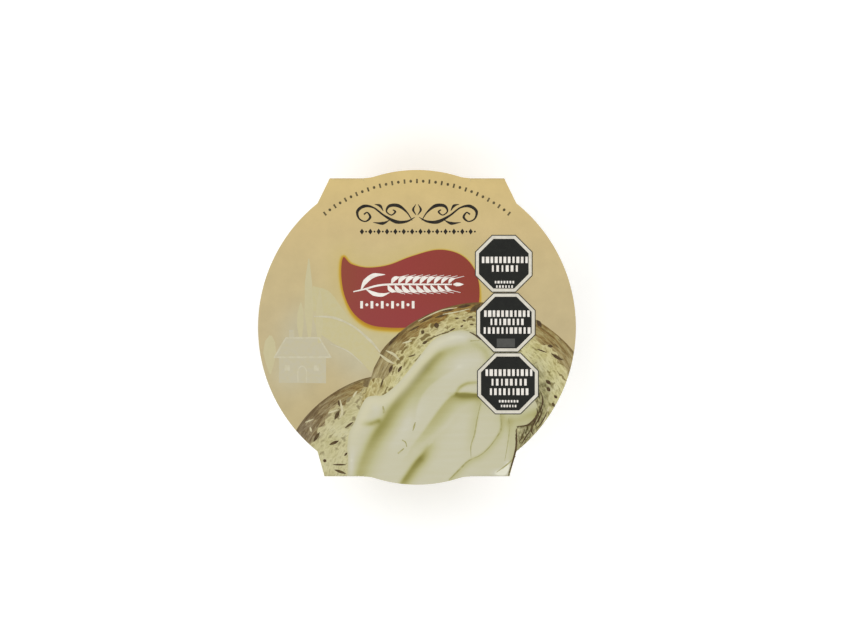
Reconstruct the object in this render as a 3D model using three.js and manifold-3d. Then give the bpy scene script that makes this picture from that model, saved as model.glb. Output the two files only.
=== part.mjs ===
// A shut round tub of soft spreading cheese, held in a printed board sleeve, in millimetres with +Z up.
// The origin is the middle of the sleeve's underside, on the surface that the pack stands on.
// +Y is the back: the edge that is uppermost when the printed top is looked at from above.

import * as THREE from "three";
import { mergeVertices } from "three/addons/utils/BufferGeometryUtils.js";
import Module from "manifold-3d";

const wasm = await Module();
wasm.setup();

// Driving dimensions of the whole pack
const packHeight = 40;
const discRadius = 50; // the round top panel, which reaches just past the lid
const board = 0.45; // thickness of the carton board
const clearance = 0.1; // left between pieces that rest on each other

// Sleeve: one die-cut strip of board, folded round the tub from front to back and glued underneath
const foldReach = 47.1; // from the middle to the top folds, a little less than the disc's radius
const lean = 0.165; // how far a side panel comes in for each millimetre that it goes down
const foldRadius = 0.9; // outside radius of a folded edge
const foldTurn = Math.PI / 2 + Math.atan(lean); // how far the board turns at a top fold
const foldEdge = foldReach + foldRadius * (1 - Math.tan(foldTurn / 2)); // a top fold's outermost line
const backPanelHalf = 27.3; // half the width of a side panel at its top fold
const frontPanelHalf = 29;
const neckHalf = 31.3; // half the width where the disc's outline turns into the neck
const neckReach = Math.sqrt(discRadius ** 2 - neckHalf ** 2);
const basePanelHalf = 25;
const glueLapHalf = 12; // the two ends of the strip overlap this far each side of the middle
const glueLapInset = 0.5; // the inner end is this much narrower at each edge
const tongueReach = 49.5; // the panel goes on past each fold as a short round tongue
const tongueRadius = 44;
const tongueSweep = 12; // radius of the hollow curves by which a tongue's ends run out along the fold
const windowDepth = 4; // the cut below the tongue, through which the lid's rim shows
const windowCorner = 1.2;
const windowHalf = Math.sqrt(
  (tongueRadius + tongueSweep) ** 2 - (foldEdge + tongueSweep - tongueReach + tongueRadius) ** 2,
);

// Tub: thin-walled, tapered and filled, so one solid out to its wall
const tubFoot = board + clearance;
const tubTop = 38.6;
const footRingInner = 34.5;
const footRingOuter = 37.4;
const footRecess = 0.8; // the sunk base leaves room for the sleeve's glued lap
const heelRadius = 39.2;
const heelRound = 0.5;
const heelRise = 1.6;
const wallTopRadius = 44;
const shoulderHeight = 30.6; // the step that stops stacked empty tubs from jamming
const shoulderRadius = 44.8;
const shoulderRise = 1;
const shoulderFlare = 0.2; // how much the band above the step opens on its way up
const flangeUnderside = 37.3;
const flangeFillet = 0.6;
const flangeRadius = 47.8;
const flangeChamfer = 0.3;

// Lid: a shallow cap pressed over the tub's flange
const lidRadius = 48.7;
const lidUnderBoard = 0.15; // air between the lid and the board that lies on it
const lidTop = packHeight - board - lidUnderBoard;
const lidSkirtFoot = 36.9;
const lidWall = 0.6;
const lidRimWidth = 3.6; // the raised ring round the sunk middle
const lidSink = 0.3;
const lidEdge = 0.5; // rounding of the outer top edge

// Labels: three octagonal stickers, one below the other at the right of the top panel
const labelThickness = 0.15;
const labelLift = 0.01; // the glue under a sticker
const labelWidths = [18.1, 18.7, 19.4];
const labelGap = 0.1;
const labelsTop = 29.05;
const labelsRight = 27.3; // middle of the uppermost label
const labelDrift = 0.65; // how much further right each next one was stuck

// Smoothness of round forms
const roundSegments = 72;
const panelSegments = 12;
const foldSegments = 4;

// Cutting shapes run past what they cut, and joined shapes run into each other
const past = 1.5;
const overlap = 0.01;

// A closed geometry as a solid that can be joined and cut
function solid(geometry) {
  const bare = geometry.clone();
  bare.deleteAttribute("normal");
  bare.deleteAttribute("uv");
  const merged = mergeVertices(bare, 1e-4);
  return new wasm.Manifold(
    new wasm.Mesh({
      numProp: 3,
      vertProperties: merged.attributes.position.array,
      triVerts: new Uint32Array(merged.index.array),
    }),
  );
}

// A solid as a geometry that a mesh can hold
function geometryOf(made) {
  const { numProp, numVert, vertProperties, triVerts } = made.getMesh();
  const places = new Float32Array(numVert * 3);
  for (let i = 0; i < numVert; i++) {
    places.set(vertProperties.subarray(i * numProp, i * numProp + 3), i * 3);
  }
  const geometry = new THREE.BufferGeometry();
  geometry.setAttribute("position", new THREE.BufferAttribute(places, 3));
  geometry.setIndex(new THREE.BufferAttribute(triVerts, 1));
  geometry.computeVertexNormals();
  return geometry;
}

function outline(points) {
  return new THREE.Shape(points.map(([x, y]) => new THREE.Vector2(x, y)));
}

function rectangle(halfWidth, halfDepth) {
  return outline([
    [halfWidth, halfDepth],
    [-halfWidth, halfDepth],
    [-halfWidth, -halfDepth],
    [halfWidth, -halfDepth],
  ]);
}

function extruded(shape, depth, curveSegments = foldSegments) {
  return new THREE.ExtrudeGeometry(shape, { depth, bevelEnabled: false, curveSegments });
}

// A plan outline raised from one height to another
function raised(shape, low, high, curveSegments) {
  return solid(extruded(shape, high - low, curveSegments).translate(0, 0, low));
}

// An outline seen from the front, run from one depth to another
function runBack(shape, near, far) {
  return solid(extruded(shape, far - near).rotateX(Math.PI / 2).translate(0, far, 0));
}

// The strip's section seen from the side, at one depth inside its outer face, with its folds rounded
function stripSection(inset) {
  const across = Math.hypot(1, lean) * inset;
  const reach = (height) => foldReach - (packHeight - height) * lean - across;
  const radius = foldRadius - inset;
  const corners = [
    [reach(packHeight - inset), packHeight - inset],
    [-reach(packHeight - inset), packHeight - inset],
    [-reach(inset), inset],
    [reach(inset), inset],
  ].map(([y, z]) => new THREE.Vector2(y, z));
  const path = new THREE.Path();
  corners.forEach((corner, i) => {
    const before = corners[(i + corners.length - 1) % corners.length];
    const after = corners[(i + 1) % corners.length];
    const inward = before.clone().sub(corner).normalize();
    const onward = after.clone().sub(corner).normalize();
    const halfAngle = inward.angleTo(onward) / 2;
    const cut = radius / Math.tan(halfAngle);
    const start = corner.clone().addScaledVector(inward, cut);
    const end = corner.clone().addScaledVector(onward, cut);
    if (i === 0) {
      path.moveTo(start.x, start.y);
    } else {
      path.lineTo(start.x, start.y);
    }
    const middle = inward.add(onward).normalize().multiplyScalar(radius / Math.sin(halfAngle)).add(corner);
    const from = Math.atan2(start.y - middle.y, start.x - middle.x);
    const to = Math.atan2(end.y - middle.y, end.x - middle.x);
    path.absarc(middle.x, middle.y, radius, from, to, false);
  });
  return path;
}

// The whole strip as a closed band, before its outline is cut
function band() {
  const shape = new THREE.Shape(stripSection(0).getPoints(foldSegments));
  shape.holes.push(new THREE.Path(stripSection(board).getPoints(foldSegments).reverse()));
  const geometry = extruded(shape, 2 * discRadius);
  const basis = new THREE.Matrix4().makeBasis(
    new THREE.Vector3(0, 1, 0),
    new THREE.Vector3(0, 0, 1),
    new THREE.Vector3(1, 0, 0),
  );
  return solid(geometry.applyMatrix4(basis).translate(-discRadius, 0, 0));
}

// A side panel and its half of the base panel, seen from the front
function sidePanel(topHalf) {
  return outline([
    [-topHalf, packHeight],
    [-basePanelHalf, 0],
    [-basePanelHalf, -past],
    [basePanelHalf, -past],
    [basePanelHalf, 0],
    [topHalf, packHeight],
  ]);
}

// What the die leaves of the band: the neck at the top, the tapered side panels and the base panel
function dieCut() {
  const halfPast = (panelHalf) => panelHalf - (past * (neckHalf - panelHalf)) / (foldReach - neckReach);
  const neck = outline([
    [halfPast(backPanelHalf), foldReach + past],
    [-halfPast(backPanelHalf), foldReach + past],
    [-neckHalf, neckReach],
    [-neckHalf, -neckReach],
    [-halfPast(frontPanelHalf), -foldReach - past],
    [halfPast(frontPanelHalf), -foldReach - past],
    [neckHalf, -neckReach],
    [neckHalf, neckReach],
  ]);
  const foldFoot = packHeight - foldRadius;
  const below = raised(rectangle(2 * discRadius, 2 * discRadius), -past, foldFoot);
  return raised(neck, foldFoot - overlap, packHeight + past)
    .add(runBack(sidePanel(backPanelHalf), -past, foldReach + past).intersect(below))
    .add(runBack(sidePanel(frontPanelHalf), -foldReach - past, past).intersect(below));
}

// The opening in a side panel that the lid's rim stands in, from one depth to another
function rimWindow(near, far) {
  const head = packHeight + past;
  const foot = packHeight - windowDepth;
  const corner = windowHalf - windowCorner;
  const shape = new THREE.Shape();
  shape.moveTo(windowHalf, head);
  shape.lineTo(-windowHalf, head);
  shape.lineTo(-windowHalf, foot + windowCorner);
  shape.absarc(-corner, foot + windowCorner, windowCorner, Math.PI, 1.5 * Math.PI, false);
  shape.absarc(corner, foot + windowCorner, windowCorner, -0.5 * Math.PI, 0, false);
  shape.closePath();
  return runBack(shape, near, far);
}

// The round top panel in plan: the sides of a disc, with a tongue over the window at the back and the front
function topPanel() {
  const neckTurn = Math.acos(neckHalf / discRadius);
  const sweepTurn = Math.asin(windowHalf / (tongueRadius + tongueSweep));
  const upright = Math.PI / 2;
  const shape = new THREE.Shape();
  for (const [way, turn] of [[1, 0], [-1, Math.PI]]) {
    const bend = (x, y, radius, from, to, clockwise) =>
      shape.absarc(way * x, way * y, radius, from + turn, to + turn, clockwise);
    bend(0, 0, discRadius, -neckTurn, neckTurn, false);
    shape.lineTo(way * windowHalf, way * neckReach);
    bend(windowHalf, foldEdge + tongueSweep, tongueSweep, -upright, -upright - sweepTurn, true);
    bend(0, tongueReach - tongueRadius, tongueRadius, upright - sweepTurn, upright + sweepTurn, false);
    bend(-windowHalf, foldEdge + tongueSweep, tongueSweep, sweepTurn - upright, -upright, true);
    shape.lineTo(-way * windowHalf, way * neckReach);
  }
  return shape;
}

// The strip folded round the tub, with its windows cut, its top panel whole and its ends glued
function sleeve() {
  const innerEnd = foldReach - foldRadius - windowDepth * lean - 2 * board;
  const outerEnd = discRadius + past;
  const gluedLap = rectangle(basePanelHalf - glueLapInset, glueLapHalf);
  return band()
    .intersect(dieCut())
    .subtract(rimWindow(innerEnd, outerEnd))
    .subtract(rimWindow(-outerEnd, -innerEnd))
    .add(raised(topPanel(), packHeight - board, packHeight, panelSegments))
    .add(raised(gluedLap, board / 2, 2 * board));
}

// A round piece from its profile, given as [radius, height] pairs from the axis and back to it
function turned(profile) {
  const points = profile.map(([radius, height]) => new THREE.Vector2(radius, height));
  return new THREE.LatheGeometry(points, roundSegments).rotateX(Math.PI / 2);
}

function tub() {
  const bandTop = shoulderRadius + shoulderFlare;
  return turned([
    [0, tubFoot + footRecess],
    [footRingInner, tubFoot + footRecess],
    [footRingInner + footRecess, tubFoot],
    [footRingOuter, tubFoot],
    [heelRadius - heelRound, tubFoot + heelRound],
    [heelRadius, tubFoot + heelRise],
    [wallTopRadius, shoulderHeight],
    [shoulderRadius, shoulderHeight + shoulderRise],
    [bandTop, flangeUnderside - flangeFillet],
    [bandTop + flangeFillet, flangeUnderside],
    [flangeRadius, flangeUnderside],
    [flangeRadius, tubTop - flangeChamfer],
    [flangeRadius - flangeChamfer, tubTop],
    [0, tubTop],
  ]);
}

function lid() {
  const rimInner = lidRadius - lidRimWidth;
  const sunk = lidTop - lidSink;
  const underside = tubTop + clearance;
  const halfwayRound = lidEdge * (1 - Math.SQRT1_2);
  return turned([
    [0, underside],
    [lidRadius - lidWall, underside],
    [lidRadius - lidWall, lidSkirtFoot],
    [lidRadius, lidSkirtFoot],
    [lidRadius, lidTop - lidEdge],
    [lidRadius - halfwayRound, lidTop - halfwayRound],
    [lidRadius - lidEdge, lidTop],
    [rimInner, lidTop],
    [rimInner - lidSink, sunk],
    [0, sunk],
  ]);
}

// A sticker that stands on a flat side, at the given width across its flats
function label(width) {
  const sides = 8;
  const corner = width / 2 / Math.cos(Math.PI / sides);
  const points = [];
  for (let i = 0; i < sides; i++) {
    const turn = ((2 * i + 1) * Math.PI) / sides;
    points.push([corner * Math.cos(turn), corner * Math.sin(turn)]);
  }
  return extruded(outline(points), labelThickness);
}

const printedBoard = new THREE.MeshStandardMaterial({ color: 0xccb987, roughness: 0.45, metalness: 0 });
const tubPlastic = new THREE.MeshStandardMaterial({ color: 0xf1eee4, roughness: 0.35, metalness: 0 });
const lidPlastic = new THREE.MeshStandardMaterial({ color: 0xf6f4ee, roughness: 0.3, metalness: 0 });
const labelPaper = new THREE.MeshStandardMaterial({ color: 0x30302c, roughness: 0.5, metalness: 0 });

function piece(name, geometry, material) {
  const mesh = new THREE.Mesh(geometry, material);
  mesh.name = name;
  return mesh;
}

const pack = new THREE.Group();
pack.add(piece("tub", tub(), tubPlastic));
pack.add(piece("lid", lid(), lidPlastic));
pack.add(piece("sleeve", geometryOf(sleeve()), printedBoard));

const labels = new THREE.Group();
labels.position.set(labelsRight, labelsTop, packHeight + labelLift);
let stuckDown = 0;
["label_upper", "label_middle", "label_lower"].forEach((name, i) => {
  const sticker = piece(name, label(labelWidths[i]), labelPaper);
  sticker.position.set(i * labelDrift, -stuckDown - labelWidths[i] / 2, 0);
  stuckDown += labelWidths[i] + labelGap;
  labels.add(sticker);
});
pack.add(labels);

export default pack;
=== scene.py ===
import math

import bmesh
import bpy
import numpy as np
from mathutils.geometry import delaunay_2d_cdt
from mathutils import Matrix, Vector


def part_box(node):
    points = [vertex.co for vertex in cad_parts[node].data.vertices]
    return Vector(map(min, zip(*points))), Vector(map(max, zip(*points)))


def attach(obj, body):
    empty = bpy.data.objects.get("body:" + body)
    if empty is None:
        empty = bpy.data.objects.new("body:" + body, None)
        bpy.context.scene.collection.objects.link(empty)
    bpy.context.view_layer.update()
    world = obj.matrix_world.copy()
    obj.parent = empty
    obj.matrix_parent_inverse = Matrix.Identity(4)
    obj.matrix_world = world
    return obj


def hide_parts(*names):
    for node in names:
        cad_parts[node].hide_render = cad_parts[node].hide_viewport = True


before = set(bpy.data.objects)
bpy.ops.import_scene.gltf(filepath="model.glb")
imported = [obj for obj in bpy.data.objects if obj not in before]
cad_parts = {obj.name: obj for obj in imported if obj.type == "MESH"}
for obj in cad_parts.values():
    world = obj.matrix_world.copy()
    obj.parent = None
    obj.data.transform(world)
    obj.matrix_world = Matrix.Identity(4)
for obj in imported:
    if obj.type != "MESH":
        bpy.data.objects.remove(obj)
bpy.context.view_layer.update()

# The tub
# A thin cup of off-white polypropylene, drawn from warm sheet into a mould, so its edges are soft and
# its wall leans out. It is filled, sealed and shut, so it is one body out to its wall, and it stands in
# the sleeve on its foot ring.
MM = 0.001
TUB_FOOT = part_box("tub")[0].z / MM
TUB_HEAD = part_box("tub")[1].z / MM
FLANGE_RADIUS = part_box("tub")[1].x / MM
FLANGE_THICKNESS = 1.3
FLANGE_CHAMFER = 0.3
FOOT_RING_INNER = 34.5
FOOT_RING_OUTER = 37.4
FOOT_RECESS = 0.8
HEEL_RADIUS = 39.2
HEEL_ROUND = 0.5
HEEL_RISE = 1.6
WALL_TOP_RADIUS = 44.0
SHOULDER_HEIGHT = 30.6
SHOULDER_RISE = 1.0
SHOULDER_RADIUS = 44.8
SHOULDER_FLARE = 0.2
FLANGE_FILLET = 0.6
BASE_STEP_RADIUS = 26.0
BASE_STEP = 0.35


def linear(hex_colour):
    """An sRGB hex colour as the linear one that a shader takes."""
    channels = [int(hex_colour[i : i + 2], 16) / 255 for i in (1, 3, 5)]
    return (*[c / 12.92 if c <= 0.04045 else ((c + 0.055) / 1.055) ** 2.4 for c in channels], 1.0)


def add(tree, kind, values=None):
    """Adds a node. Its values are settings, a ramp's stops, and a plain value or a source for a socket."""
    made = tree.nodes.new(kind)
    for name, value in (values or {}).items():
        if name == "stops":
            stops = made.color_ramp.elements
            while len(stops) < len(value):
                stops.new(1.0)
            for stop, (place, colour) in zip(stops, value):
                stop.position = place
                stop.color = linear(colour)
        elif isinstance(name, str) and hasattr(made, name):
            setattr(made, name, value)
        elif isinstance(value, (bpy.types.Node, bpy.types.NodeSocket)):
            source = next(out for out in getattr(value, "outputs", [value]) if out.enabled)
            tree.links.new(source, made.inputs[name])
        else:
            made.inputs[name].default_value = linear(value) if isinstance(value, str) else value
    return made


def finish(name, surface, painters=None):
    """A material with one shader. Each painter adds nodes of its own and returns what feeds its socket."""
    made = bpy.data.materials.new(name)
    made.use_nodes = True
    tree = made.node_tree
    tree.nodes.clear()
    sources = {socket: paint(tree) for socket, paint in (painters or {}).items()}
    shader = add(tree, "ShaderNodeBsdfPrincipled", {**surface, **sources})
    add(tree, "ShaderNodeOutputMaterial", {"Surface": shader})
    return made


def turned(name, profile, segments=192):
    """A round body from its outline in mm, given as (radius, height) from the axis and back to it."""
    made = bmesh.new()
    rings = []
    for radius, height in profile:
        turns = [math.tau * i / segments for i in range(segments if radius else 1)]
        places = [(radius * MM * math.cos(t), radius * MM * math.sin(t), height * MM) for t in turns]
        rings.append([made.verts.new(place) for place in places])
    for lower, upper in zip(rings, rings[1:]):
        for i in range(segments):
            around = ((lower, i), (lower, i + 1), (upper, i + 1), (upper, i))
            made.faces.new(dict.fromkeys(ring[k % len(ring)] for ring, k in around))
    for face in made.faces:
        face.smooth = True
    mesh = bpy.data.meshes.new(name)
    made.to_mesh(mesh)
    made.free()
    return placed(name, mesh)


def placed(name, mesh):
    """An object at the origin that shows a mesh."""
    made = bpy.data.objects.new(name, mesh)
    bpy.context.scene.collection.objects.link(made)
    return made


def soften(piece, width, steps=3):
    """Rounds a piece's edges by a width in mm."""
    made = piece.modifiers.new("rounded edges", "BEVEL")
    made.width = width * MM
    made.segments = steps
    made.limit_method = "ANGLE"
    made.angle_limit = math.radians(12)
    made.harden_normals = True


def polypropylene(name, colour, cast, gloss):
    """Moulded polypropylene: milky with a soft sheen, faintly uneven where it shrank in the mould."""
    shrink_size = 24
    texture_size = 0.35

    def milky(tree):
        place = add(tree, "ShaderNodeTexCoord").outputs["Object"]
        clouds = add(tree, "ShaderNodeTexNoise", {"Vector": place, "Scale": 1 / (shrink_size * MM)})
        return add(tree, "ShaderNodeValToRGB", {"Fac": clouds, "stops": [(0.3, cast), (0.7, colour)]})

    def moulded(tree):
        place = add(tree, "ShaderNodeTexCoord").outputs["Object"]
        grain = add(tree, "ShaderNodeTexNoise", {"Vector": place, "Scale": 1 / (texture_size * MM)})
        return add(tree, "ShaderNodeBump", {"Height": grain, "Strength": 0.12, "Distance": 0.03 * MM})

    surface = {"Roughness": gloss, "IOR": 1.49, "Subsurface Weight": 0.12, "Subsurface Scale": 1.5 * MM}
    return finish(name, surface, {"Base Color": milky, "Normal": moulded})


band_radius = SHOULDER_RADIUS + SHOULDER_FLARE
flange_underside = TUB_HEAD - FLANGE_THICKNESS
tub = turned(
    "tub_body",
    [
        (0, TUB_FOOT + FOOT_RECESS + BASE_STEP),
        (BASE_STEP_RADIUS, TUB_FOOT + FOOT_RECESS + BASE_STEP),
        (BASE_STEP_RADIUS + BASE_STEP, TUB_FOOT + FOOT_RECESS),
        (FOOT_RING_INNER, TUB_FOOT + FOOT_RECESS),
        (FOOT_RING_INNER + FOOT_RECESS, TUB_FOOT),
        (FOOT_RING_OUTER, TUB_FOOT),
        (HEEL_RADIUS - HEEL_ROUND, TUB_FOOT + HEEL_ROUND),
        (HEEL_RADIUS, TUB_FOOT + HEEL_RISE),
        (WALL_TOP_RADIUS, SHOULDER_HEIGHT),
        (SHOULDER_RADIUS, SHOULDER_HEIGHT + SHOULDER_RISE),
        (band_radius, flange_underside - FLANGE_FILLET),
        (band_radius + FLANGE_FILLET, flange_underside),
        (FLANGE_RADIUS, flange_underside),
        (FLANGE_RADIUS, TUB_HEAD - FLANGE_CHAMFER),
        (FLANGE_RADIUS - FLANGE_CHAMFER, TUB_HEAD),
        (0, TUB_HEAD),
    ],
)
soften(tub, 0.25)
tub_plastic = polypropylene("thermoformed_polypropylene", "#EBE6D8", "#E7E2D2", 0.36)
tub.data.materials.append(tub_plastic)
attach(tub, "root")
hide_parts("tub")

# The lugs on the tub's shoulder
# Short upright ribs of the same sheet, moulded into the band above the shoulder. They keep stacked
# empty tubs from jamming, and they stand half out of the wall.
LUG_COUNT = 36
LUG_RADIUS = 0.55
LUG_STANDS_OUT = 0.22
LUG_FOOT = 32.6
LUG_HEAD = 36.2
RIB_SIDES = 10


def new_tree(name, inputs):
    """An empty tree and the sockets that it is given, each with its kind. It gives geometry."""
    tree = bpy.data.node_groups.new(name, "GeometryNodeTree")
    for title, kind in inputs.items():
        tree.interface.new_socket(title, in_out="INPUT", socket_type="NodeSocket" + kind)
    tree.interface.new_socket("Result", in_out="OUTPUT", socket_type="NodeSocketGeometry")
    return tree, add(tree, "NodeGroupInput").outputs


def end_tree(tree, copying, material):
    """Ends a tree with copies of a shape on points, made real and given a material."""
    copies = add(tree, "GeometryNodeInstanceOnPoints", copying)
    real = add(tree, "GeometryNodeRealizeInstances", {"Geometry": copies})
    dressed = add(tree, "GeometryNodeSetMaterial", {"Geometry": real, "Material": material})
    add(tree, "NodeGroupOutput", {"Result": dressed})
    return tree


def rib_tree():
    """Upright rods at even steps round a ring, half sunk in the wall that they stand on."""
    sizes = ("Ring radius", "Rib radius", "Rib length", "Middle height")
    inputs = {"Count": "Int", **dict.fromkeys(sizes, "Float"), "Plastic": "Material"}
    tree, given = new_tree("ribs round a wall", inputs)
    ring_values = {"Vertices": given["Count"], "Radius": given["Ring radius"]}
    ring = add(tree, "GeometryNodeMeshCircle", ring_values)
    height = add(tree, "ShaderNodeCombineXYZ", {"Z": given["Middle height"]})
    raised = add(tree, "GeometryNodeSetPosition", {"Geometry": ring, "Offset": height})
    rod_values = {"Vertices": RIB_SIDES, "Radius": given["Rib radius"], "Depth": given["Rib length"]}
    rod = add(tree, "GeometryNodeMeshCylinder", rod_values)
    return end_tree(tree, {"Points": raised, "Instance": rod}, given["Plastic"])


def grown(name, tree, settings, start=None):
    """What a tree makes of a starting mesh, as a plain piece without the modifier."""
    piece = placed(name, start or bpy.data.meshes.new(name + "_start"))
    modifier = piece.modifiers.new("growth", "NODES")
    modifier.node_group = tree
    for socket in tree.interface.items_tree:
        if socket.name in settings:
            modifier[socket.identifier] = settings[socket.name]
    shown = piece.evaluated_get(bpy.context.evaluated_depsgraph_get())
    mesh = bpy.data.meshes.new_from_object(shown)
    piece.modifiers.remove(modifier)
    piece.data = mesh
    return piece


def ribs(name, count, ring_radius, radius, foot, head, plastic):
    """Upright ribs round a ring, with all sizes in mm."""
    sizes = {"Ring radius": ring_radius, "Rib radius": radius}
    sizes |= {"Rib length": head - foot, "Middle height": (head + foot) / 2}
    settings = {title: size * MM for title, size in sizes.items()}
    return grown(name, upright_ribs, {"Count": count, "Plastic": plastic, **settings})


upright_ribs = rib_tree()
lug_ring = SHOULDER_RADIUS + LUG_STANDS_OUT - LUG_RADIUS
tub_lugs = ribs("tub_lugs", LUG_COUNT, lug_ring, LUG_RADIUS, LUG_FOOT, LUG_HEAD, tub_plastic)
soften(tub_lugs, 0.15, 2)
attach(tub_lugs, "root")

# The lid
# A shallow cap of white polypropylene, injection moulded, pressed over the tub's flange. A raised ring
# runs round its sunk middle, and below that the skirt closes round the flange.
LID_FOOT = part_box("lid")[0].z / MM
LID_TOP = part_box("lid")[1].z / MM
LID_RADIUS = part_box("lid")[1].x / MM
LID_WALL = 0.6
LID_RIM_WIDTH = 3.6
LID_SINK = 0.3
LID_EDGE = 0.5
LID_BEAD = 0.12
LID_UNDERSIDE = TUB_HEAD + 0.1

lid = turned(
    "lid_cap",
    [
        (0, LID_UNDERSIDE),
        (LID_RADIUS - LID_WALL, LID_UNDERSIDE),
        (LID_RADIUS - LID_WALL, LID_FOOT),
        (LID_RADIUS, LID_FOOT),
        (LID_RADIUS, LID_FOOT + LID_WALL),
        (LID_RADIUS - LID_BEAD, LID_FOOT + LID_WALL + LID_BEAD),
        (LID_RADIUS - LID_BEAD, LID_TOP - LID_EDGE),
        (LID_RADIUS - LID_BEAD - LID_EDGE * 0.3, LID_TOP - LID_EDGE * 0.3),
        (LID_RADIUS - LID_BEAD - LID_EDGE, LID_TOP),
        (LID_RADIUS - LID_RIM_WIDTH, LID_TOP),
        (LID_RADIUS - LID_RIM_WIDTH - LID_SINK, LID_TOP - LID_SINK),
        (0, LID_TOP - LID_SINK),
    ],
)
soften(lid, 0.1, 2)
lid_plastic = polypropylene("injection_moulded_polypropylene", "#F6F4EE", "#F1EFE7", 0.3)
lid.data.materials.append(lid_plastic)
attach(lid, "root")
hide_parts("lid")

# The grip on the lid's skirt
# Fine upright ribs moulded round the skirt, a little prouder than its wall, for the fingers that
# pull the lid off.
GRIP_COUNT = 150
GRIP_RADIUS = 0.4
GRIP_FOOT = LID_FOOT + 0.75
GRIP_HEAD = LID_TOP - 0.55

grip_ring = LID_RADIUS - GRIP_RADIUS
lid_grip = ribs("lid_grip", GRIP_COUNT, grip_ring, GRIP_RADIUS, GRIP_FOOT, GRIP_HEAD, lid_plastic)
soften(lid_grip, 0.12, 2)
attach(lid_grip, "root")

# The sleeve's blank
# One strip of coated carton board, 0.45 mm thick, cut by a die: a round top panel with two short tongues,
# and at each end a neck, a tapered side panel and half a base panel. Here it lies flat, in mm: u runs
# across the strip and v along it, both from the middle of the top panel.
PACK_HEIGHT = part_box("sleeve")[1].z / MM
DISC_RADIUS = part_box("sleeve")[1].x / MM
BOARD = 0.45
FOLD_REACH = 47.1
LEAN = 0.165
FOLD_RADIUS = 0.9
NECK_HALF = 31.3
BACK_PANEL_HALF = 27.3
FRONT_PANEL_HALF = 29.0
BASE_PANEL_HALF = 25.0
GLUE_LAP_HALF = 12.0
GLUE_LAP_INSET = 0.5
GLUE_LAP_RAMP = 2.2
TONGUE_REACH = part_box("sleeve")[1].y / MM
TONGUE_RADIUS = 44.0
TONGUE_SWEEP = 12.0
WINDOW_DEPTH = 4.0
WINDOW_CORNER = 1.2
KNIFE_WIDTH = 0.06
FOLD_STEPS = 6
ARC_STEP = math.radians(1.2)

lean_angle = math.atan(LEAN)
top_turn = math.pi / 2 + lean_angle
foot_turn = math.pi / 2 - lean_angle
foot_reach = FOLD_REACH - PACK_HEIGHT * LEAN
top_cut = FOLD_RADIUS * math.tan(top_turn / 2)
foot_cut = FOLD_RADIUS * math.tan(foot_turn / 2)
flat_end = FOLD_REACH - top_cut
panel_start = flat_end + FOLD_RADIUS * top_turn
panel_end = panel_start + PACK_HEIGHT / math.cos(lean_angle) - top_cut - foot_cut
base_start = panel_end + FOLD_RADIUS * foot_turn
strip_end = base_start + foot_reach - foot_cut + GLUE_LAP_HALF
sweep_reach = TONGUE_RADIUS + TONGUE_SWEEP
sweep_height = flat_end + FOLD_RADIUS + TONGUE_SWEEP
tongue_middle = TONGUE_REACH - TONGUE_RADIUS
window_half = math.sqrt(sweep_reach**2 - (sweep_height - tongue_middle) ** 2)
window_foot = panel_start + (WINDOW_DEPTH - FOLD_RADIUS) / math.cos(lean_angle)


def arc(middle, radius, start, end, step=ARC_STEP):
    """Points on an arc, both ends included."""
    count = max(2, round(abs(end - start) / step) + 1)
    turns = np.linspace(start, end, count)
    return np.stack([middle[0] + radius * np.cos(turns), middle[1] + radius * np.sin(turns)], 1)


def end_outline(panel_half, inset):
    """The right edge of one end of the strip, from the disc out to the strip's end."""
    neck_reach = math.sqrt(DISC_RADIUS**2 - NECK_HALF**2)
    flare = (NECK_HALF - panel_half) / (FOLD_REACH - neck_reach)
    ramp_start = strip_end - 2 * GLUE_LAP_HALF - GLUE_LAP_RAMP
    return np.array(
        [
            (NECK_HALF - flare * (flat_end - neck_reach), flat_end),
            (panel_half, panel_start),
            (BASE_PANEL_HALF, panel_end),
            (BASE_PANEL_HALF, base_start),
            (BASE_PANEL_HALF, ramp_start),
            (BASE_PANEL_HALF - inset, ramp_start + GLUE_LAP_RAMP),
            (BASE_PANEL_HALF - inset, strip_end),
        ]
    )


def tongue():
    """A tongue's edge from left to right: a round front with a hollow curve into each fold."""
    sweep = math.asin(window_half / sweep_reach)
    upright = math.pi / 2
    left = arc((-window_half, sweep_height), TONGUE_SWEEP, -upright, sweep - upright)
    front = arc((0, tongue_middle), TONGUE_RADIUS, upright + sweep, upright - sweep)
    right = arc((window_half, sweep_height), TONGUE_SWEEP, -upright - sweep, -upright)
    return np.concatenate([left, front[1:-1], right])


def window(side):
    """The hole between a tongue and the side panel, with the knife's cut at the tongue's ends."""
    tongue_half = window_half - KNIFE_WIDTH
    corner = (window_half - WINDOW_CORNER, window_foot - WINDOW_CORNER)
    right = [(window_half, flat_end), *arc(corner, WINDOW_CORNER, 0, math.pi / 2, math.pi / 12)]
    left = [(-u, v) for u, v in reversed(right)]
    rim = tongue() * (tongue_half / window_half, 1)
    return np.array([*right, *left, (-tongue_half, flat_end), *rim, (tongue_half, flat_end)]) * (1, side)


back_edge = end_outline(BACK_PANEL_HALF, GLUE_LAP_INSET)
front_edge = end_outline(FRONT_PANEL_HALF, 0) * (1, -1)
neck_angle = math.acos(NECK_HALF / DISC_RADIUS)
blank_outline = np.concatenate(
    [
        arc((0, 0), DISC_RADIUS, -neck_angle, neck_angle),
        back_edge,
        back_edge[::-1] * (-1, 1),
        arc((0, 0), DISC_RADIUS, math.pi - neck_angle, math.pi + neck_angle),
        front_edge * (-1, 1),
        front_edge[::-1],
    ]
)
windows = [window(1), window(-1)]

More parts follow.
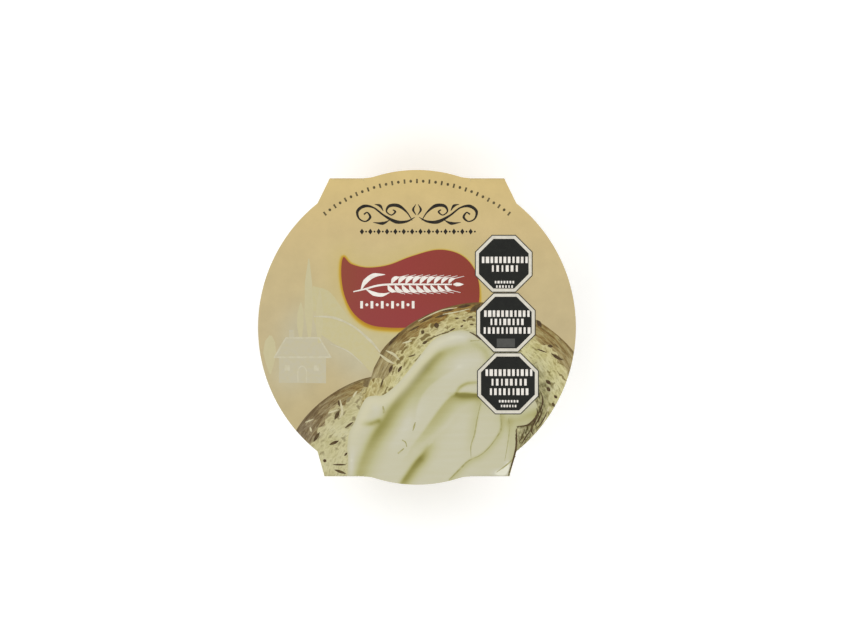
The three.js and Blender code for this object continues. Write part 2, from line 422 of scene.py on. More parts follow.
# The picture on the sleeve
# Four-colour offset print under a satin varnish: a warm ground, a wavy red banner with a golden glow,
# two slices of bread and a thick swirl of spread. It runs over the front fold, down the side panel.
BANNER = [(-23.2, 22.0), (-20.6, 19.9), (-15.5, 18.8), (-9, 19.6), (-1.8, 22.3), (6.6, 24.4), (13.6, 22.9),
          (18, 18.4), (19.7, 11.6), (18, 5), (9, 0.4), (0, 0), (-8.5, -0.1), (-15, 0.9), (-19.8, 4.3),
          (-22.7, 9.8), (-23.8, 16.4)]
SLICES = {"left": ((-6.8, -50.8), 35.85, 1.0, 0.0), "right": ((19.5, -29.2), 36.8, 2.0, 0.8)}
SLICE_WAVES = ((0.3, 3, 1), (0.2, 7, 2))
BULGE_TURN, BULGE_SPREAD = math.radians(146), math.radians(9)
CRUST_WIDTHS = {"left": 4.6, "right": 3.9}
CRUST_SWELL, CRUST_SWELLS, CRUST_SHIFT = 0.3, 3, -2
CRUST_END = -16.3
FRAY = 0.33
FRAY_WAVES = (12, 19, 29, 43, 61)
SPREAD = [(-22.3, -52), (-21.9, -46.9), (-21.7, -41.2), (-21.9, -37.4), (-21.2, -32.8), (-19.6, -29.8),
          (-18.1, -26), (-16, -22.3), (-13.4, -21.5), (-10.6, -21.3), (-6.7, -18.3), (-4, -15.3),
          (-1.3, -11.9), (1.7, -8), (4.7, -4.4), (8.2, -2.3), (13, -1), (17, -1.6), (20, -3.9),
          (23.4, -7.3), (29, -14), (34.5, -19.5), (37.4, -23.6), (37.8, -26.3), (36.4, -29.1),
          (34.2, -30.8), (31.5, -31.4), (30.9, -34), (31, -38), (29.9, -41.8), (28.8, -45.5),
          (28.4, -48.5), (26, -56), (15, -59.6), (2, -60.8), (-11, -59.8), (-19.5, -56.6)]
BAND_TOP = panel_end - 5.2
BAND_HEIGHT, BAND_TURN = 0.7, 0.16
BANNER_LINES = (0.25, 0.55, 0.9, 1.4, 2.2)
SPREAD_LINES = (0.3, 0.7, 1.2)
BAND_LINES = (0, 0.4, 0.8, 1.3)
LAP_LINES = (0, 0.25, 0.5, 0.75, 1)
LINE_STEP = 0.5
GRID_STEP = 1.5
FINE_STEP = 0.45
MERGED_BELOW = 1e-4


def smooth(points, closed=True, steps=8):
    """A curve through points that bends evenly, as more points."""
    path = np.array(points, float)
    if closed:
        path = np.concatenate([path[-1:], path, path[:2]])
    else:
        path = np.concatenate([2 * path[:1] - path[1:2], path, 2 * path[-1:] - path[-2:-1]])
    found = []
    for a, b, c, d in zip(path, path[1:], path[2:], path[3:]):
        for t in np.arange(steps) / steps:
            bend = (2 * a - 5 * b + 4 * c - d) * t**2 + (3 * b - a - 3 * c + d) * t**3
            found.append(b + ((c - a) * t + bend) / 2)
    if not closed:
        found.append(path[-2])
    return np.array(found)


def widened(loop, reach):
    """A closed outline with each point moved outwards by a reach in mm."""
    along = np.roll(loop, -1, 0) - np.roll(loop, 1, 0)
    outward = np.stack([along[:, 1], -along[:, 0]], 1) / np.hypot(*along.T)[:, None]
    after = np.roll(loop, -1, 0)
    turning = np.sign(np.sum(loop[:, 0] * after[:, 1] - after[:, 0] * loop[:, 1]))
    return loop + outward * reach * turning


def bell(gap, width, power=2):
    """How near a gap is to none, from 1 down to 0, with a width in the gap's own unit."""
    return np.exp(-((gap / width) ** power))


def slice_outline(middle, radius, phase, bulge, inset):
    """A slice of bread: a circle that the baking left uneven, or inside it the crust's frayed end."""
    turns = np.arange(0, math.tau, ARC_STEP)
    uneven = sum(high * np.sin(waves * turns + shift * phase) for high, waves, shift in SLICE_WAVES)
    uneven += bulge * bell(turns - BULGE_TURN, BULGE_SPREAD)
    frayed = sum(FRAY * np.sin(waves * turns + waves**2 * phase) for waves in FRAY_WAVES) * (inset > 0)
    swelling = 1 + CRUST_SWELL * np.cos(CRUST_SWELLS * turns + CRUST_SHIFT)
    reach = radius - inset * swelling + uneven + frayed
    return np.stack([middle[0] + reach * np.cos(turns), middle[1] + reach * np.sin(turns)], 1)


def band_edge(u):
    """Where the red band at the foot of both side panels begins, in mm along the strip."""
    return BAND_TOP + BAND_HEIGHT * np.sin(u * BAND_TURN)


def inside(points, loop):
    """Which points lie in a closed outline, by counting the edges that a ray from each crosses."""
    crossings = np.zeros(len(points), int)
    x, y = points.T
    for (x0, y0), (x1, y1) in zip(loop, np.roll(loop, -1, axis=0)):
        if y0 != y1:
            spans = (y0 > y) != (y1 > y)
            crossings += spans & (x < x0 + (y - y0) * (x1 - x0) / (y1 - y0))
    return crossings % 2 == 1


def track(points, path):
    """How far each point lies from a path in mm, positive to its left, and how far along it from 0 to 1."""
    nearest = np.full(len(points), np.inf)
    share = np.zeros(len(points))
    lengths = np.hypot(*np.diff(path, axis=0).T)
    done = 0
    for start, end, length in zip(path, path[1:], lengths):
        step = end - start
        t = np.clip((points - start) @ step / length**2, 0, 1)
        gap = points - start - t[:, None] * step
        distance = np.hypot(*gap.T)
        closer = distance < abs(nearest)
        left = step[0] * gap[:, 1] > step[1] * gap[:, 0]
        nearest[closer] = np.where(left, distance, -distance)[closer]
        share[closer] = (done + t * length)[closer] / lengths.sum()
        done += length
    return nearest, share


def grid(low, high, step):
    """Points in even rows between two corners, each row half a step off the one before."""
    rows = np.arange(low[1], high[1], step * math.sqrt(3) / 2)
    across = np.arange(low[0], high[0], step)
    return np.array([(u + (i % 2) * step / 2, v) for i, v in enumerate(rows) for u in across])


banner = smooth(BANNER)
spread = smooth(SPREAD)
crusts = {name: slice_outline(*SLICES[name], 0) for name in SLICES}
crumbs = {name: slice_outline(*SLICES[name], CRUST_WIDTHS[name]) for name in SLICES}

loops = [blank_outline, *windows, banner, spread, *crusts.values(), *crumbs.values()]
loops += [widened(banner, reach) for reach in BANNER_LINES]
loops += [widened(spread, reach) for reach in SPREAD_LINES]
across_strip = np.arange(-NECK_HALF, NECK_HALF, LINE_STEP)
lines = []
for side in (1, -1):
    for above in BAND_LINES:
        lines.append(np.stack([across_strip, side * (band_edge(across_strip) - above)], 1))
fold_rows = [(flat_end, panel_start), (panel_end, base_start)]
for side in (1, -1):
    for start, end in fold_rows:
        for v in np.linspace(start, end, FOLD_STEPS + 1):
            lines.append(np.stack([across_strip, np.full(len(across_strip), v * side)], 1))
for share in LAP_LINES:
    v = strip_end - 2 * GLUE_LAP_HALF - GLUE_LAP_RAMP * share
    lines.append(np.array([(-BASE_PANEL_HALF, v), (BASE_PANEL_HALF, v)]))

fine = grid(spread.min(0), spread.max(0), FINE_STEP)
coarse = grid((-DISC_RADIUS, -strip_end), (DISC_RADIUS, strip_end), GRID_STEP)
points = [*coarse[inside(coarse, blank_outline) & ~inside(coarse, spread)], *fine[inside(fine, spread)]]
edges = []
for path, closed in [(loop, True) for loop in loops] + [(line, False) for line in lines]:
    first = len(points)
    points.extend(path)
    edges.extend((first + i, first + i + 1) for i in range(len(path) - 1))
    if closed:
        edges.append((first + len(path) - 1, first))
cut = delaunay_2d_cdt([tuple(map(float, p)) for p in points], edges, [], 0, MERGED_BELOW, False)
spots = np.array([tuple(p) for p in cut[0]])
triangles = np.array(cut[2])
middles = spots[triangles].mean(1)
kept = inside(middles, blank_outline) & ~inside(middles, windows[0]) & ~inside(middles, windows[1])
triangles = triangles[kept]
middles = middles[kept]
used, triangles = np.unique(triangles, return_inverse=True)
triangles = triangles.reshape(-1, 3)
spots = spots[used]

# The inks
# Each field of the picture is one ink mix on the coated board. Closer in, the varnish is satin and
# follows the board's fibres, and along folds and cut edges the ink has cracked to pale board.
INKS = ["ground", "banner", "crust", "crumb", "spread", "inside", "cut"]
FIBRES, FIBRE_RELIEF = {"Scale": 1 / (0.6 * MM), "Detail": 4}, {"Strength": 0.08, "Distance": 0.02 * MM}
VARNISH, VARNISH_RELIEF = {"Scale": 1 / (9.0 * MM), "Detail": 1}, {"Strength": 0.25, "Distance": 0.25 * MM}
CRACKS, CRACK_REACH, CRACK_SHARE = {"Scale": 1 / (0.5 * MM), "Detail": 3}, 0.62, 0.55
PALE_BOARD = "#DCD6C6"
SATIN_VARNISH = {"Roughness": 0.45, "IOR": 1.45, "Specular IOR Level": 0.3}
BARK_STEPS = (0.3, 0.42, 0.54, 0.7)
BARKS = (
    ("#513816", "#7C6230", "#958350", "#B3A877"),
    ("#492D0E", "#75551F", "#8D6F33", "#B29A5E"),
    ("#4B3A22", "#6B5A3E", "#84755A", "#ADA283"),
    ("#6E5C34", "#8F8054", "#A2946A", "#B9AE87"),
)
LOWER_END = (-36 * MM, -18 * MM)
TOAST_ENDS = ((-5 * MM, 5 * MM), (32 * MM, 17 * MM))
PALE_END = (-15 * MM, -3 * MM)
FLAKES = ((2.2, 0.5, 3), (0.58, 0.68, 0.0, 0.45))
SPLITS = ((3.3, 0.45, 3), (0.42, 0.34, 0.0, 0.6))
TEARS = ((3.0, 0.7, 4), (0.38, 0.62, 1.35, 0.45))


COLOURS = {"data_type": "RGBA"}
SHARE, UNDER, OVER = 0, 6, 7
CREAMS = [(0.0, "#7F7838"), (0.15, "#928D4E"), (0.35, "#ABA671"), (0.55, "#B8B58B"), (0.75, "#C1BD9E"),
          (0.88, "#C7C4AE"), (1.0, "#DFDDC8")]


def span(start, end, low=0.0, high=1.0):
    """The settings by which a value goes from low to high on its way from a start to an end."""
    return {"From Min": start, "From Max": end, "To Min": low, "To Max": high}


def printed(name, paint, measures):
    """Ink on coated board under satin varnish. Paint gets the mesh's measures and returns a colour."""

    def worn(tree):
        place = add(tree, "ShaderNodeUVMap", {"uv_map": "blank"})
        wear, *held = [
            add(tree, "ShaderNodeAttribute", {"attribute_name": measure}).outputs["Fac"]
            for measure in ("wear", *measures)
        ]
        reach = add(tree, "ShaderNodeMath", {"operation": "MULTIPLY", 0: wear, 1: CRACK_REACH})
        grain = add(tree, "ShaderNodeTexNoise", {"Vector": place, **CRACKS})
        cracked = add(tree, "ShaderNodeMath", {"operation": "LESS_THAN", 0: grain, 1: reach})
        bare = add(tree, "ShaderNodeMath", {"operation": "MULTIPLY", 0: cracked, 1: CRACK_SHARE})
        ink = paint(tree, place, *held)
        return add(tree, "ShaderNodeMix", {**COLOURS, SHARE: bare, UNDER: ink, OVER: PALE_BOARD})

    def fibrous(tree):
        place = add(tree, "ShaderNodeUVMap", {"uv_map": "blank"})
        fibres = add(tree, "ShaderNodeTexNoise", {"Vector": place, **FIBRES})
        rough = add(tree, "ShaderNodeBump", {"Height": fibres, **FIBRE_RELIEF})
        waves = add(tree, "ShaderNodeTexNoise", {"Vector": place, **VARNISH})
        return add(tree, "ShaderNodeBump", {"Height": waves, "Normal": rough, **VARNISH_RELIEF})

    return finish(name, SATIN_VARNISH, {"Base Color": worn, "Normal": fibrous})


def ground_ink(tree, place, glow, haze, meadow):
    """The ground: straw yellow at the back, a little duller towards the front, gold round the banner."""
    depth = add(tree, "ShaderNodeSeparateXYZ", {"Vector": place}).outputs["Y"]
    share = add(tree, "ShaderNodeMapRange", {"Value": depth, **span(-30 * MM, 50 * MM)})
    stops = [(0.0, "#BFAF82"), (0.37, "#C2B186"), (0.6, "#C8B585"), (0.75, "#CDB783"), (1.0, "#D5BC7D")]
    straw = add(tree, "ShaderNodeValToRGB", {"Fac": share, "stops": stops})
    grassy = add(tree, "ShaderNodeMix", {**COLOURS, SHARE: meadow, UNDER: straw, OVER: "#C8BE8D"})
    misty = add(tree, "ShaderNodeMix", {**COLOURS, SHARE: haze, UNDER: grassy, OVER: "#C1B99A"})
    patchy = {"Vector": place, "Scale": 1 / (7 * MM), "Detail": 5, "Roughness": 0.6}
    uneven = add(tree, "ShaderNodeTexNoise", patchy)
    mottle = add(tree, "ShaderNodeValToRGB", {"Fac": uneven, "stops": [(0.3, "#F4F4F4"), (0.7, "#FFFFFF")]})
    dimmed = {"blend_type": "MULTIPLY", SHARE: 1.0, UNDER: misty, OVER: mottle}
    ink = add(tree, "ShaderNodeMix", {**COLOURS, **dimmed})
    golds = [(0.0, "#CDBE80"), (0.3, "#C3A94C"), (0.6, "#B98F24"), (1.0, "#A9761B")]
    gold = add(tree, "ShaderNodeValToRGB", {"Fac": glow, "stops": golds})
    gilt = add(tree, "ShaderNodeMapRange", {"Value": glow, **span(0.0, 0.4)})
    return add(tree, "ShaderNodeMix", {**COLOURS, SHARE: gilt, UNDER: ink, OVER: gold})


def banner_ink(tree, place):
    """Brick red, a little browner at its left and right ends and plummier towards the front."""
    across, depth, _ = add(tree, "ShaderNodeSeparateXYZ", {"Vector": place}).outputs
    share = add(tree, "ShaderNodeMapRange", {"Value": across, **span(-22 * MM, 20 * MM)})
    stops = [(0.0, "#8B4131"), (0.16, "#8E3B34"), (0.45, "#8F3731"), (1.0, "#873828")]
    red = add(tree, "ShaderNodeValToRGB", {"Fac": share, "stops": stops})
    plummy = add(tree, "ShaderNodeMapRange", {"Value": depth, **span(12 * MM, 3 * MM, 0.0, 0.5)})
    return add(tree, "ShaderNodeMix", {**COLOURS, SHARE: plummy, UNDER: red, OVER: "#8E3A3B"})


def along_slice(tree, around, across, length, width):
    """A place measured round the slice and in from its edge, in steps of a length and a width in mm."""
    along = add(tree, "ShaderNodeMath", {"operation": "DIVIDE", 0: around, 1: length})
    inwards = add(tree, "ShaderNodeMath", {"operation": "DIVIDE", 0: across, 1: width})
    return add(tree, "ShaderNodeCombineXYZ", {"X": along, "Y": inwards})


def streaks(tree, around, across, length, width, detail, roughness=0.5):
    """Noise drawn out along the slice."""
    place = along_slice(tree, around, across, length, width)
    drawn = {"Vector": place, "Scale": 1.0, "Detail": detail, "Roughness": roughness}
    return add(tree, "ShaderNodeTexNoise", drawn)


def patches(tree, around, across, drawn, shown):
    """Streaks that show where their noise is in a range."""
    drawn_out = streaks(tree, around, across, *drawn)
    return add(tree, "ShaderNodeMapRange", {"Value": drawn_out, **span(*shown)})


def crust_ink(tree, place, around, across, on_right):
    """Baked crust: bark-like streaks that run round the slice, darkest at the outer edge."""
    bark = streaks(tree, around, across, 5.0, 0.8, 6, 0.68)
    right, upper, lower, paler = [
        add(tree, "ShaderNodeValToRGB", {"Fac": bark, "stops": list(zip(BARK_STEPS, tones))})
        for tones in BARKS
    ]
    sideways, depth, _ = add(tree, "ShaderNodeSeparateXYZ", {"Vector": place}).outputs
    low = add(tree, "ShaderNodeMapRange", {"Value": sideways, **span(*LOWER_END)})
    left = add(tree, "ShaderNodeMix", {**COLOURS, SHARE: low, UNDER: lower, OVER: right})
    ends = [add(tree, "ShaderNodeMapRange", {"Value": sideways, **span(*end)}) for end in TOAST_ENDS]
    toast = add(tree, "ShaderNodeMath", {"operation": "MULTIPLY", 0: ends[0], 1: ends[1]})
    baked = add(tree, "ShaderNodeMix", {**COLOURS, SHARE: toast, UNDER: right, OVER: upper})
    far = add(tree, "ShaderNodeMapRange", {"Value": depth, **span(*PALE_END)})
    big = add(tree, "ShaderNodeMix", {**COLOURS, SHARE: far, UNDER: paler, OVER: baked})
    body = add(tree, "ShaderNodeMix", {**COLOURS, SHARE: on_right, UNDER: left, OVER: big})
    flakes = patches(tree, around, across, *FLAKES)
    flaky = add(tree, "ShaderNodeMix", {**COLOURS, SHARE: flakes, UNDER: body, OVER: "#BCAB75"})
    splits = patches(tree, around, across, *SPLITS)
    split = add(tree, "ShaderNodeMix", {**COLOURS, SHARE: splits, UNDER: flaky, OVER: "#4C3B1E"})
    rim = add(tree, "ShaderNodeMapRange", {"Value": across, **span(0.1, 0.9, 0.65, 0.0)})
    return add(tree, "ShaderNodeMix", {**COLOURS, SHARE: rim, UNDER: split, OVER: "#5A4626"})


def crumb_ink(tree, place, around, across, on_right, shade):
    """Open crumb: pale, with long holes along the slice that get denser and browner near the crust."""
    patchy = {"Vector": place, "Scale": 1 / (5 * MM), "Detail": 5, "Roughness": 0.6}
    pales = [(0.35, "#B7B077"), (0.5, "#C5BF8D"), (0.65, "#CEC99E")]
    body = add(tree, "ShaderNodeValToRGB", {"Fac": add(tree, "ShaderNodeTexNoise", patchy), "stops": pales})
    drawn_out = streaks(tree, around, across, 2.8, 0.6, 5, 0.65)
    stops = [(0.36, "#AFA27C"), (0.5, "#FFFFFF")]
    fibres = add(tree, "ShaderNodeValToRGB", {"Fac": drawn_out, "stops": stops})
    near_crust = add(tree, "ShaderNodeMapRange", {"Value": across, **span(3.0, 9.0, 0.6, 0.0)})
    toasted = add(tree, "ShaderNodeMix", {**COLOURS, SHARE: near_crust, UNDER: body, OVER: "#A08A48"})
    dimmed = {"blend_type": "MULTIPLY", SHARE: 0.6, UNDER: toasted, OVER: fibres}
    fibrous_body = add(tree, "ShaderNodeMix", {**COLOURS, **dimmed})
    wavy = {"Vector": place, "Scale": 1 / (2.2 * MM), "Detail": 3}
    wander = add(tree, "ShaderNodeTexNoise", wavy).outputs["Color"]
    bending = {0: wander, 1: (1.6, 1.6, 0), 2: along_slice(tree, around, across, 4.4, 1.5)}
    bent = add(tree, "ShaderNodeVectorMath", {"operation": "MULTIPLY_ADD", **bending})
    pattern = {"voronoi_dimensions": "2D", "Scale": 1.0, "Vector": bent}
    cell = add(tree, "ShaderNodeTexVoronoi", pattern).outputs["Color"]
    chance = add(tree, "ShaderNodeSeparateColor", {"Color": cell})
    off_wall = add(tree, "ShaderNodeTexVoronoi", {"feature": "DISTANCE_TO_EDGE", **pattern})
    own_wall = add(tree, "ShaderNodeMapRange", {"Value": chance, **span(0.42, 1.0, 0.47, 0.04)})
    inner_wall = add(tree, "ShaderNodeMapRange", {"Value": across, **span(4.0, 11.0, 0.0, 0.08)})
    thick = add(tree, "ShaderNodeMath", {"operation": "ADD", 0: own_wall, 1: inner_wall})
    walls = add(tree, "ShaderNodeMapRange", {"Value": off_wall, **span(0.14, 0.04, 0.0, 0.45)})
    pale = add(tree, "ShaderNodeMix", {**COLOURS, SHARE: walls, UNDER: fibrous_body, OVER: "#D6CF9C"})
    past_wall = add(tree, "ShaderNodeMath", {"operation": "SUBTRACT", 0: off_wall, 1: thick})
    holes = add(tree, "ShaderNodeMapRange", {"Value": past_wall, **span(-0.05, 0.16, 0.0, 0.85)})
    inwards = add(tree, "ShaderNodeMapRange", {"Value": across, **span(3.0, 14.0)})
    brown = add(tree, "ShaderNodeMix", {**COLOURS, SHARE: inwards, UNDER: "#664F16", OVER: "#7A7040"})
    holed = add(tree, "ShaderNodeMix", {**COLOURS, SHARE: holes, UNDER: pale, OVER: brown})
    greyed = add(tree, "ShaderNodeMapRange", {"Value": on_right, **span(0.0, 1.0, 0.3, 0.0)})
    grey = add(tree, "ShaderNodeMix", {**COLOURS, SHARE: greyed, UNDER: holed, OVER: "#AEA88B"})
    torn = patches(tree, around, across, *TEARS)
    dusk = add(tree, "ShaderNodeMath", {"operation": "MULTIPLY", 0: shade, 1: torn})
    return add(tree, "ShaderNodeMix", {**COLOURS, SHARE: dusk, UNDER: grey, OVER: "#473F14"})


def spread_ink(tree, place, tone, warm):
    """Thick spread: cream where it faces the light and olive in the troughs that the knife left."""
    drag_length, drag_width = 17 * MM, 1.5 * MM
    turn = {"Rotation": (0, 0, math.radians(-58)), "Scale": (1 / drag_length, 1 / drag_width, 1)}
    drag = add(tree, "ShaderNodeMapping", {"Vector": place, **turn})
    dragged = add(tree, "ShaderNodeTexNoise", {"Vector": drag, "Scale": 1.0, "Detail": 4})
    uneven = add(tree, "ShaderNodeMath", {"operation": "SUBTRACT", 0: dragged, 1: 0.5})
    faint = add(tree, "ShaderNodeMath", {"operation": "MULTIPLY", 0: uneven, 1: 0.12})
    lit = add(tree, "ShaderNodeMath", {"operation": "ADD", 0: tone, 1: faint})
    cream = add(tree, "ShaderNodeValToRGB", {"Fac": lit, "stops": CREAMS})
    return add(tree, "ShaderNodeMix", {**COLOURS, SHARE: warm, UNDER: cream, OVER: "#CFCAAA"})


def uncoated(tree):
    """The board's back: grey-white pulp with long fibres."""
    place = add(tree, "ShaderNodeUVMap", {"uv_map": "blank"})
    fibres = {"Vector": place, "Scale": 1 / (1.6 * MM), "Detail": 5, "Roughness": 0.7}
    pulp = add(tree, "ShaderNodeTexNoise", fibres)
    return add(tree, "ShaderNodeValToRGB", {"Fac": pulp, "stops": [(0.35, "#BDB6A8"), (0.65, "#CFC9BC")]})


prints = {
    "ground": (ground_ink, ("glow", "haze", "meadow")),
    "banner": (banner_ink, ()),
    "crust": (crust_ink, ("around", "across", "slice")),
    "crumb": (crumb_ink, ("around", "across", "slice", "shade")),
    "spread": (spread_ink, ("tone", "warm")),
}
inks = [printed(f"{name}_ink_on_board", *made_of) for name, made_of in prints.items()]
inks.append(finish("uncoated_board", {"Roughness": 0.85}, {"Base Color": uncoated}))
inks.append(finish("cut_board", {"Roughness": 0.9, "Base Color": "#D6D0C1"}))

# The folded sleeve
# The blank is folded down at the back and the front, in under the tub, and its two ends are glued
# together below it. The disc isn't folded: it stays whole and passes the folds as two short tongues.
RUN = [(flat_end, 0), (panel_start - flat_end, top_turn), (panel_end - panel_start, 0)]
RUN += [(base_start - panel_end, foot_turn), (strip_end - base_start, 0)]
HIDDEN_SEAM = math.radians(-35)
SHARP_EDGE = math.radians(35)
BREAD_MARGIN = 0.6
GLOW, GLOW_WIDTH, GLOW_FALL = 0.45, 0.45, 1.7
LOW_GLOW, LOW_GLOW_WIDTH, LOW_FRONT, LOW_LEFT = 0.5, 0.8, (15, 0), (-17, -31)
HALO, HALO_WIDTH, HALO_BACK = 0.14, 5, (0, 10)
BAND_GLOW, BAND_GLOW_WIDTH = 0.9, 0.7
WARM, WARM_WIDTH, WARM_INSET, WARM_LEFT, WARM_BACK = 0.75, 1.7, 1.8, (14, 4), (-40, -28)
RIM_WIDTH, RIM_DIP, RIM_SHADE, SHADE_RIGHT = 0.6, 0.1, 0.75, (8, 28)
LIGHT_TONE, DIP, DIP_RIGHT = 0.8, 0.04, (14, 28)
FOLD_WEAR, FOLD_WEAR_WIDTH, CUT_WEAR = 0.75, 0.45, 0.62
TROUGHS = [
    ([(-18.7, -48), (-17.3, -43.2), (-15.2, -38), (-12.9, -33.6), (-10.2, -29.6), (-7.8, -25.6),
      (-4.8, -21), (-1.3, -16.6), (2.7, -12.2), (6, -9.3), (9.5, -7.4)],
     [0.45, 0.5, 0.66, 0.62, 0.66, 0.62, 0.1], 1.7, 3.6),
    ([(-1.3, -16.6), (2.7, -12.2), (6.6, -8.9), (10.4, -7), (14.2, -6), (18.6, -6)],
     [0.05, 0.14, 0.3, 0.2, 0.1], 1.1, 2.0),
    ([(-6.4, -51.5), (-2.9, -46.4), (-0.6, -43.1), (1.7, -40.4), (3.6, -37.9)],
     [0.4, 0.68, 0.68, 0.78, 0.3], 0.9, 2.3),
    ([(-1.6, -38), (2.1, -33.2), (5.1, -29), (8.2, -24.8), (11.2, -21.8), (15, -20.8), (19.5, -21.4)],
     [0.1, 0.3, 0.42, 0.45, 0.5, 0.35], 0.5, 3.8),
    ([(11.3, -20.7), (14.6, -21), (18.8, -21.1)], [0.2, 0.6, 0.5], 0.35, 1.5),
    ([(-0.8, -29), (0, -24), (2.6, -19.6), (6.3, -16.2), (11.4, -13)], [0.05, 0.18, 0.18, 0.05], 1.7, 0.4),
    ([(-16.9, -30.3), (-14.6, -30.3), (-12.2, -29.4)], [0.3, 0.55, 0.45], 0.9, 0.8),
    ([(17, -4.4), (20.6, -6.5), (22.4, -10), (21.4, -13.4)], [0.2, 0.3, 0.2], 1.3, 1.3),
    ([(20.1, -24.2), (19, -29), (18.1, -33.6), (17, -38)], [0.1, 0.22, 0.2, 0.05], 0.35, 2.0),
    ([(26.4, -27), (26.4, -31.6), (24.9, -34.8), (22.2, -38.2), (19.4, -40.5), (16, -42.2), (10.4, -47.8)],
     [0.25, 0.32, 0.26, 0.24, 0.3, 0.3, 0.3], 1.4, 0.4),
    ([(30.5, -46), (29.6, -38), (29, -30)], [0.05, 0.14, 0.25], 1.0, 1.6),
    ([(27, -28.4), (32, -29), (37, -27)], [0.12, 0.3, 0.38], 1.8, 2.4),
    ([(12.4, -20.5), (13.5, -18.9), (15.6, -17.7), (18.6, -17.3)], [0.35, 0.55, 0.5, 0.35], 0.5, 0.6),
]
CRESTS = [
    ([(-14.8, -23), (-13.2, -24.8), (-12.3, -27.6)], [0.02, 0.1, 0.02], 1.5),
    ([(2, -9.6), (7, -4.9), (12.4, -3.2), (17, -3.6)], [0.05, 0.1, 0.12, 0.08], 1.5),
    ([(-6.8, -19.6), (-2.9, -15.3), (1.6, -10)], [0.05, 0.2, 0.1], 1.1),
    ([(-7.6, -37), (-3.4, -30.4), (1.4, -23.5)], [0.05, 0.12, 0.05], 2.4),
    ([(-1, -38.9), (5.4, -33.9), (9.2, -30.6), (12.8, -26.4), (18, -23.4)],
     [0.05, 0.1, 0.1, 0.06, 0.05], 0.9),
    ([(8.6, -15.2), (14, -11.6), (18, -10.4)], [0.04, 0.1, 0.06], 2.6),
    ([(24, -45.9), (27.6, -45.4), (28.8, -43.2)], [0.1, 0.5, 0.3], 1.0),
    ([(-20.4, -46), (-20.6, -42), (-20, -37.5)], [0.08, 0.12, 0.02], 1.0),
]
HAZE = ([(-40, -14), (-38, -7), (-36, 0), (-31, -1), (-24, -6), (-18, -11)], [0.85], 6.5)
MEADOW = ([(-31, 7), (-25, 3), (-20, -1.5), (-14, -4), (-8, -3)], [0.8], 4.5)
DUSK = ([(37, -14), (38.6, -18), (38.4, -24), (37.4, -28), (34.6, -32.6), (32.6, -38)],
        [0.5, 0.7, 0.75, 0.85, 0.8, 0.5], 3.1)


def stays_flat(u, v):
    """Whether a point of the blank lies in the disc between the folds' inner ends, which isn't folded."""
    return (np.hypot(u, v) <= DISC_RADIUS + KNIFE_WIDTH / 2) & (abs(u) <= window_half - KNIFE_WIDTH / 2)


def on_sleeve(u, v, depth=0.0):
    """Where a point of the blank, at a depth below its face, lies on the folded sleeve, in metres."""
    if stays_flat(u, v):
        return u * MM, v * MM, (PACK_HEIGHT - depth) * MM
    side = math.copysign(1, v)
    left = abs(v)
    y, z, heading = 0.0, PACK_HEIGHT, 0.0
    for length, turn in RUN:
        step = min(left, length)
        if turn:
            towards = heading + turn * step / length
            y += FOLD_RADIUS * (math.sin(towards) - math.sin(heading))
            z += FOLD_RADIUS * (math.cos(towards) - math.cos(heading))
            heading = towards
        else:
            y += step * math.cos(heading)
            z -= step * math.sin(heading)
        left -= step
        if left <= 0:
            break
    if side > 0 and abs(v) > base_start:
        climb = min(max((GLUE_LAP_HALF + GLUE_LAP_RAMP - y) / GLUE_LAP_RAMP, 0), 1)
        z += BOARD * climb * climb * (3 - 2 * climb)
    return u * MM, side * (y - depth * math.sin(heading)) * MM, (z - depth * math.cos(heading)) * MM


def swell(path, heights, left_width, right_width=None):
    """A soft ridge along a path, with its heights spread along it and a width to its left and right."""
    gap, share = track(spots, smooth(path, False))
    height = np.interp(share, np.linspace(0, 1, len(heights)), heights)
    return height * bell(gap, np.where(gap > 0, left_width, right_width or left_width))


def from_outline(loop):
    """How far each point of the blank lies from a closed outline, in mm."""
    return abs(track(spots, np.concatenate([loop, loop[:1]]))[0])


def ease(value, start, end):
    """How far a value has come on its way from a start to an end, from 0 to 1."""
    return np.clip((value - start) / (end - start), 0, 1)


def edges_of(faces):
    """The edges that only one face has, each in its face's direction."""
    pairs = faces[:, [0, 1, 1, 2, 2, 0]].reshape(-1, 2)
    known = {tuple(pair) for pair in pairs}
    return [(a, b) for a, b in known if (b, a) not in known]


rim_edges = edges_of(triangles)
count = len(spots)
faces = [tuple(t) for t in triangles]
faces += [(c + count, b + count, a + count) for a, b, c in triangles]
faces += [(a, a + count, b + count, b) for a, b in rim_edges]
heights = [on_sleeve(u, v, depth) for depth in (0, BOARD) for u, v in spots]
sleeve_mesh = bpy.data.meshes.new("sleeve_board")
sleeve_mesh.from_pydata(heights, [], faces)

ink_of = np.zeros(len(triangles), int)
for name in SLICES:
    in_slice = inside(middles, crusts[name])
    ink_of[in_slice] = INKS.index("crust")
    hidden_crust = in_slice & (name == "right") & (middles[:, 1] < CRUST_END) & (middles[:, 0] < 0)
    ink_of[inside(middles, crumbs[name]) | hidden_crust] = INKS.index("crumb")
ink_of[inside(middles, banner) & (ink_of == 0)] = INKS.index("banner")
ink_of[inside(middles, spread)] = INKS.index("spread")
ink_of[abs(middles[:, 1]) > band_edge(middles[:, 0])] = INKS.index("banner")
ink_of[abs(middles[:, 1]) > base_start] = INKS.index("ground")
face_inks = [*ink_of, *[INKS.index("inside")] * len(triangles), *[INKS.index("cut")] * len(rim_edges)]
for ink in inks:
    sleeve_mesh.materials.append(ink)
sleeve_mesh.polygons.foreach_set("material_index", face_inks)

corner_spots = np.concatenate([spots, spots])[[i for face in faces for i in face]]
sleeve_mesh.uv_layers.new(name="blank").data.foreach_set("uv", (corner_spots * MM).ravel())

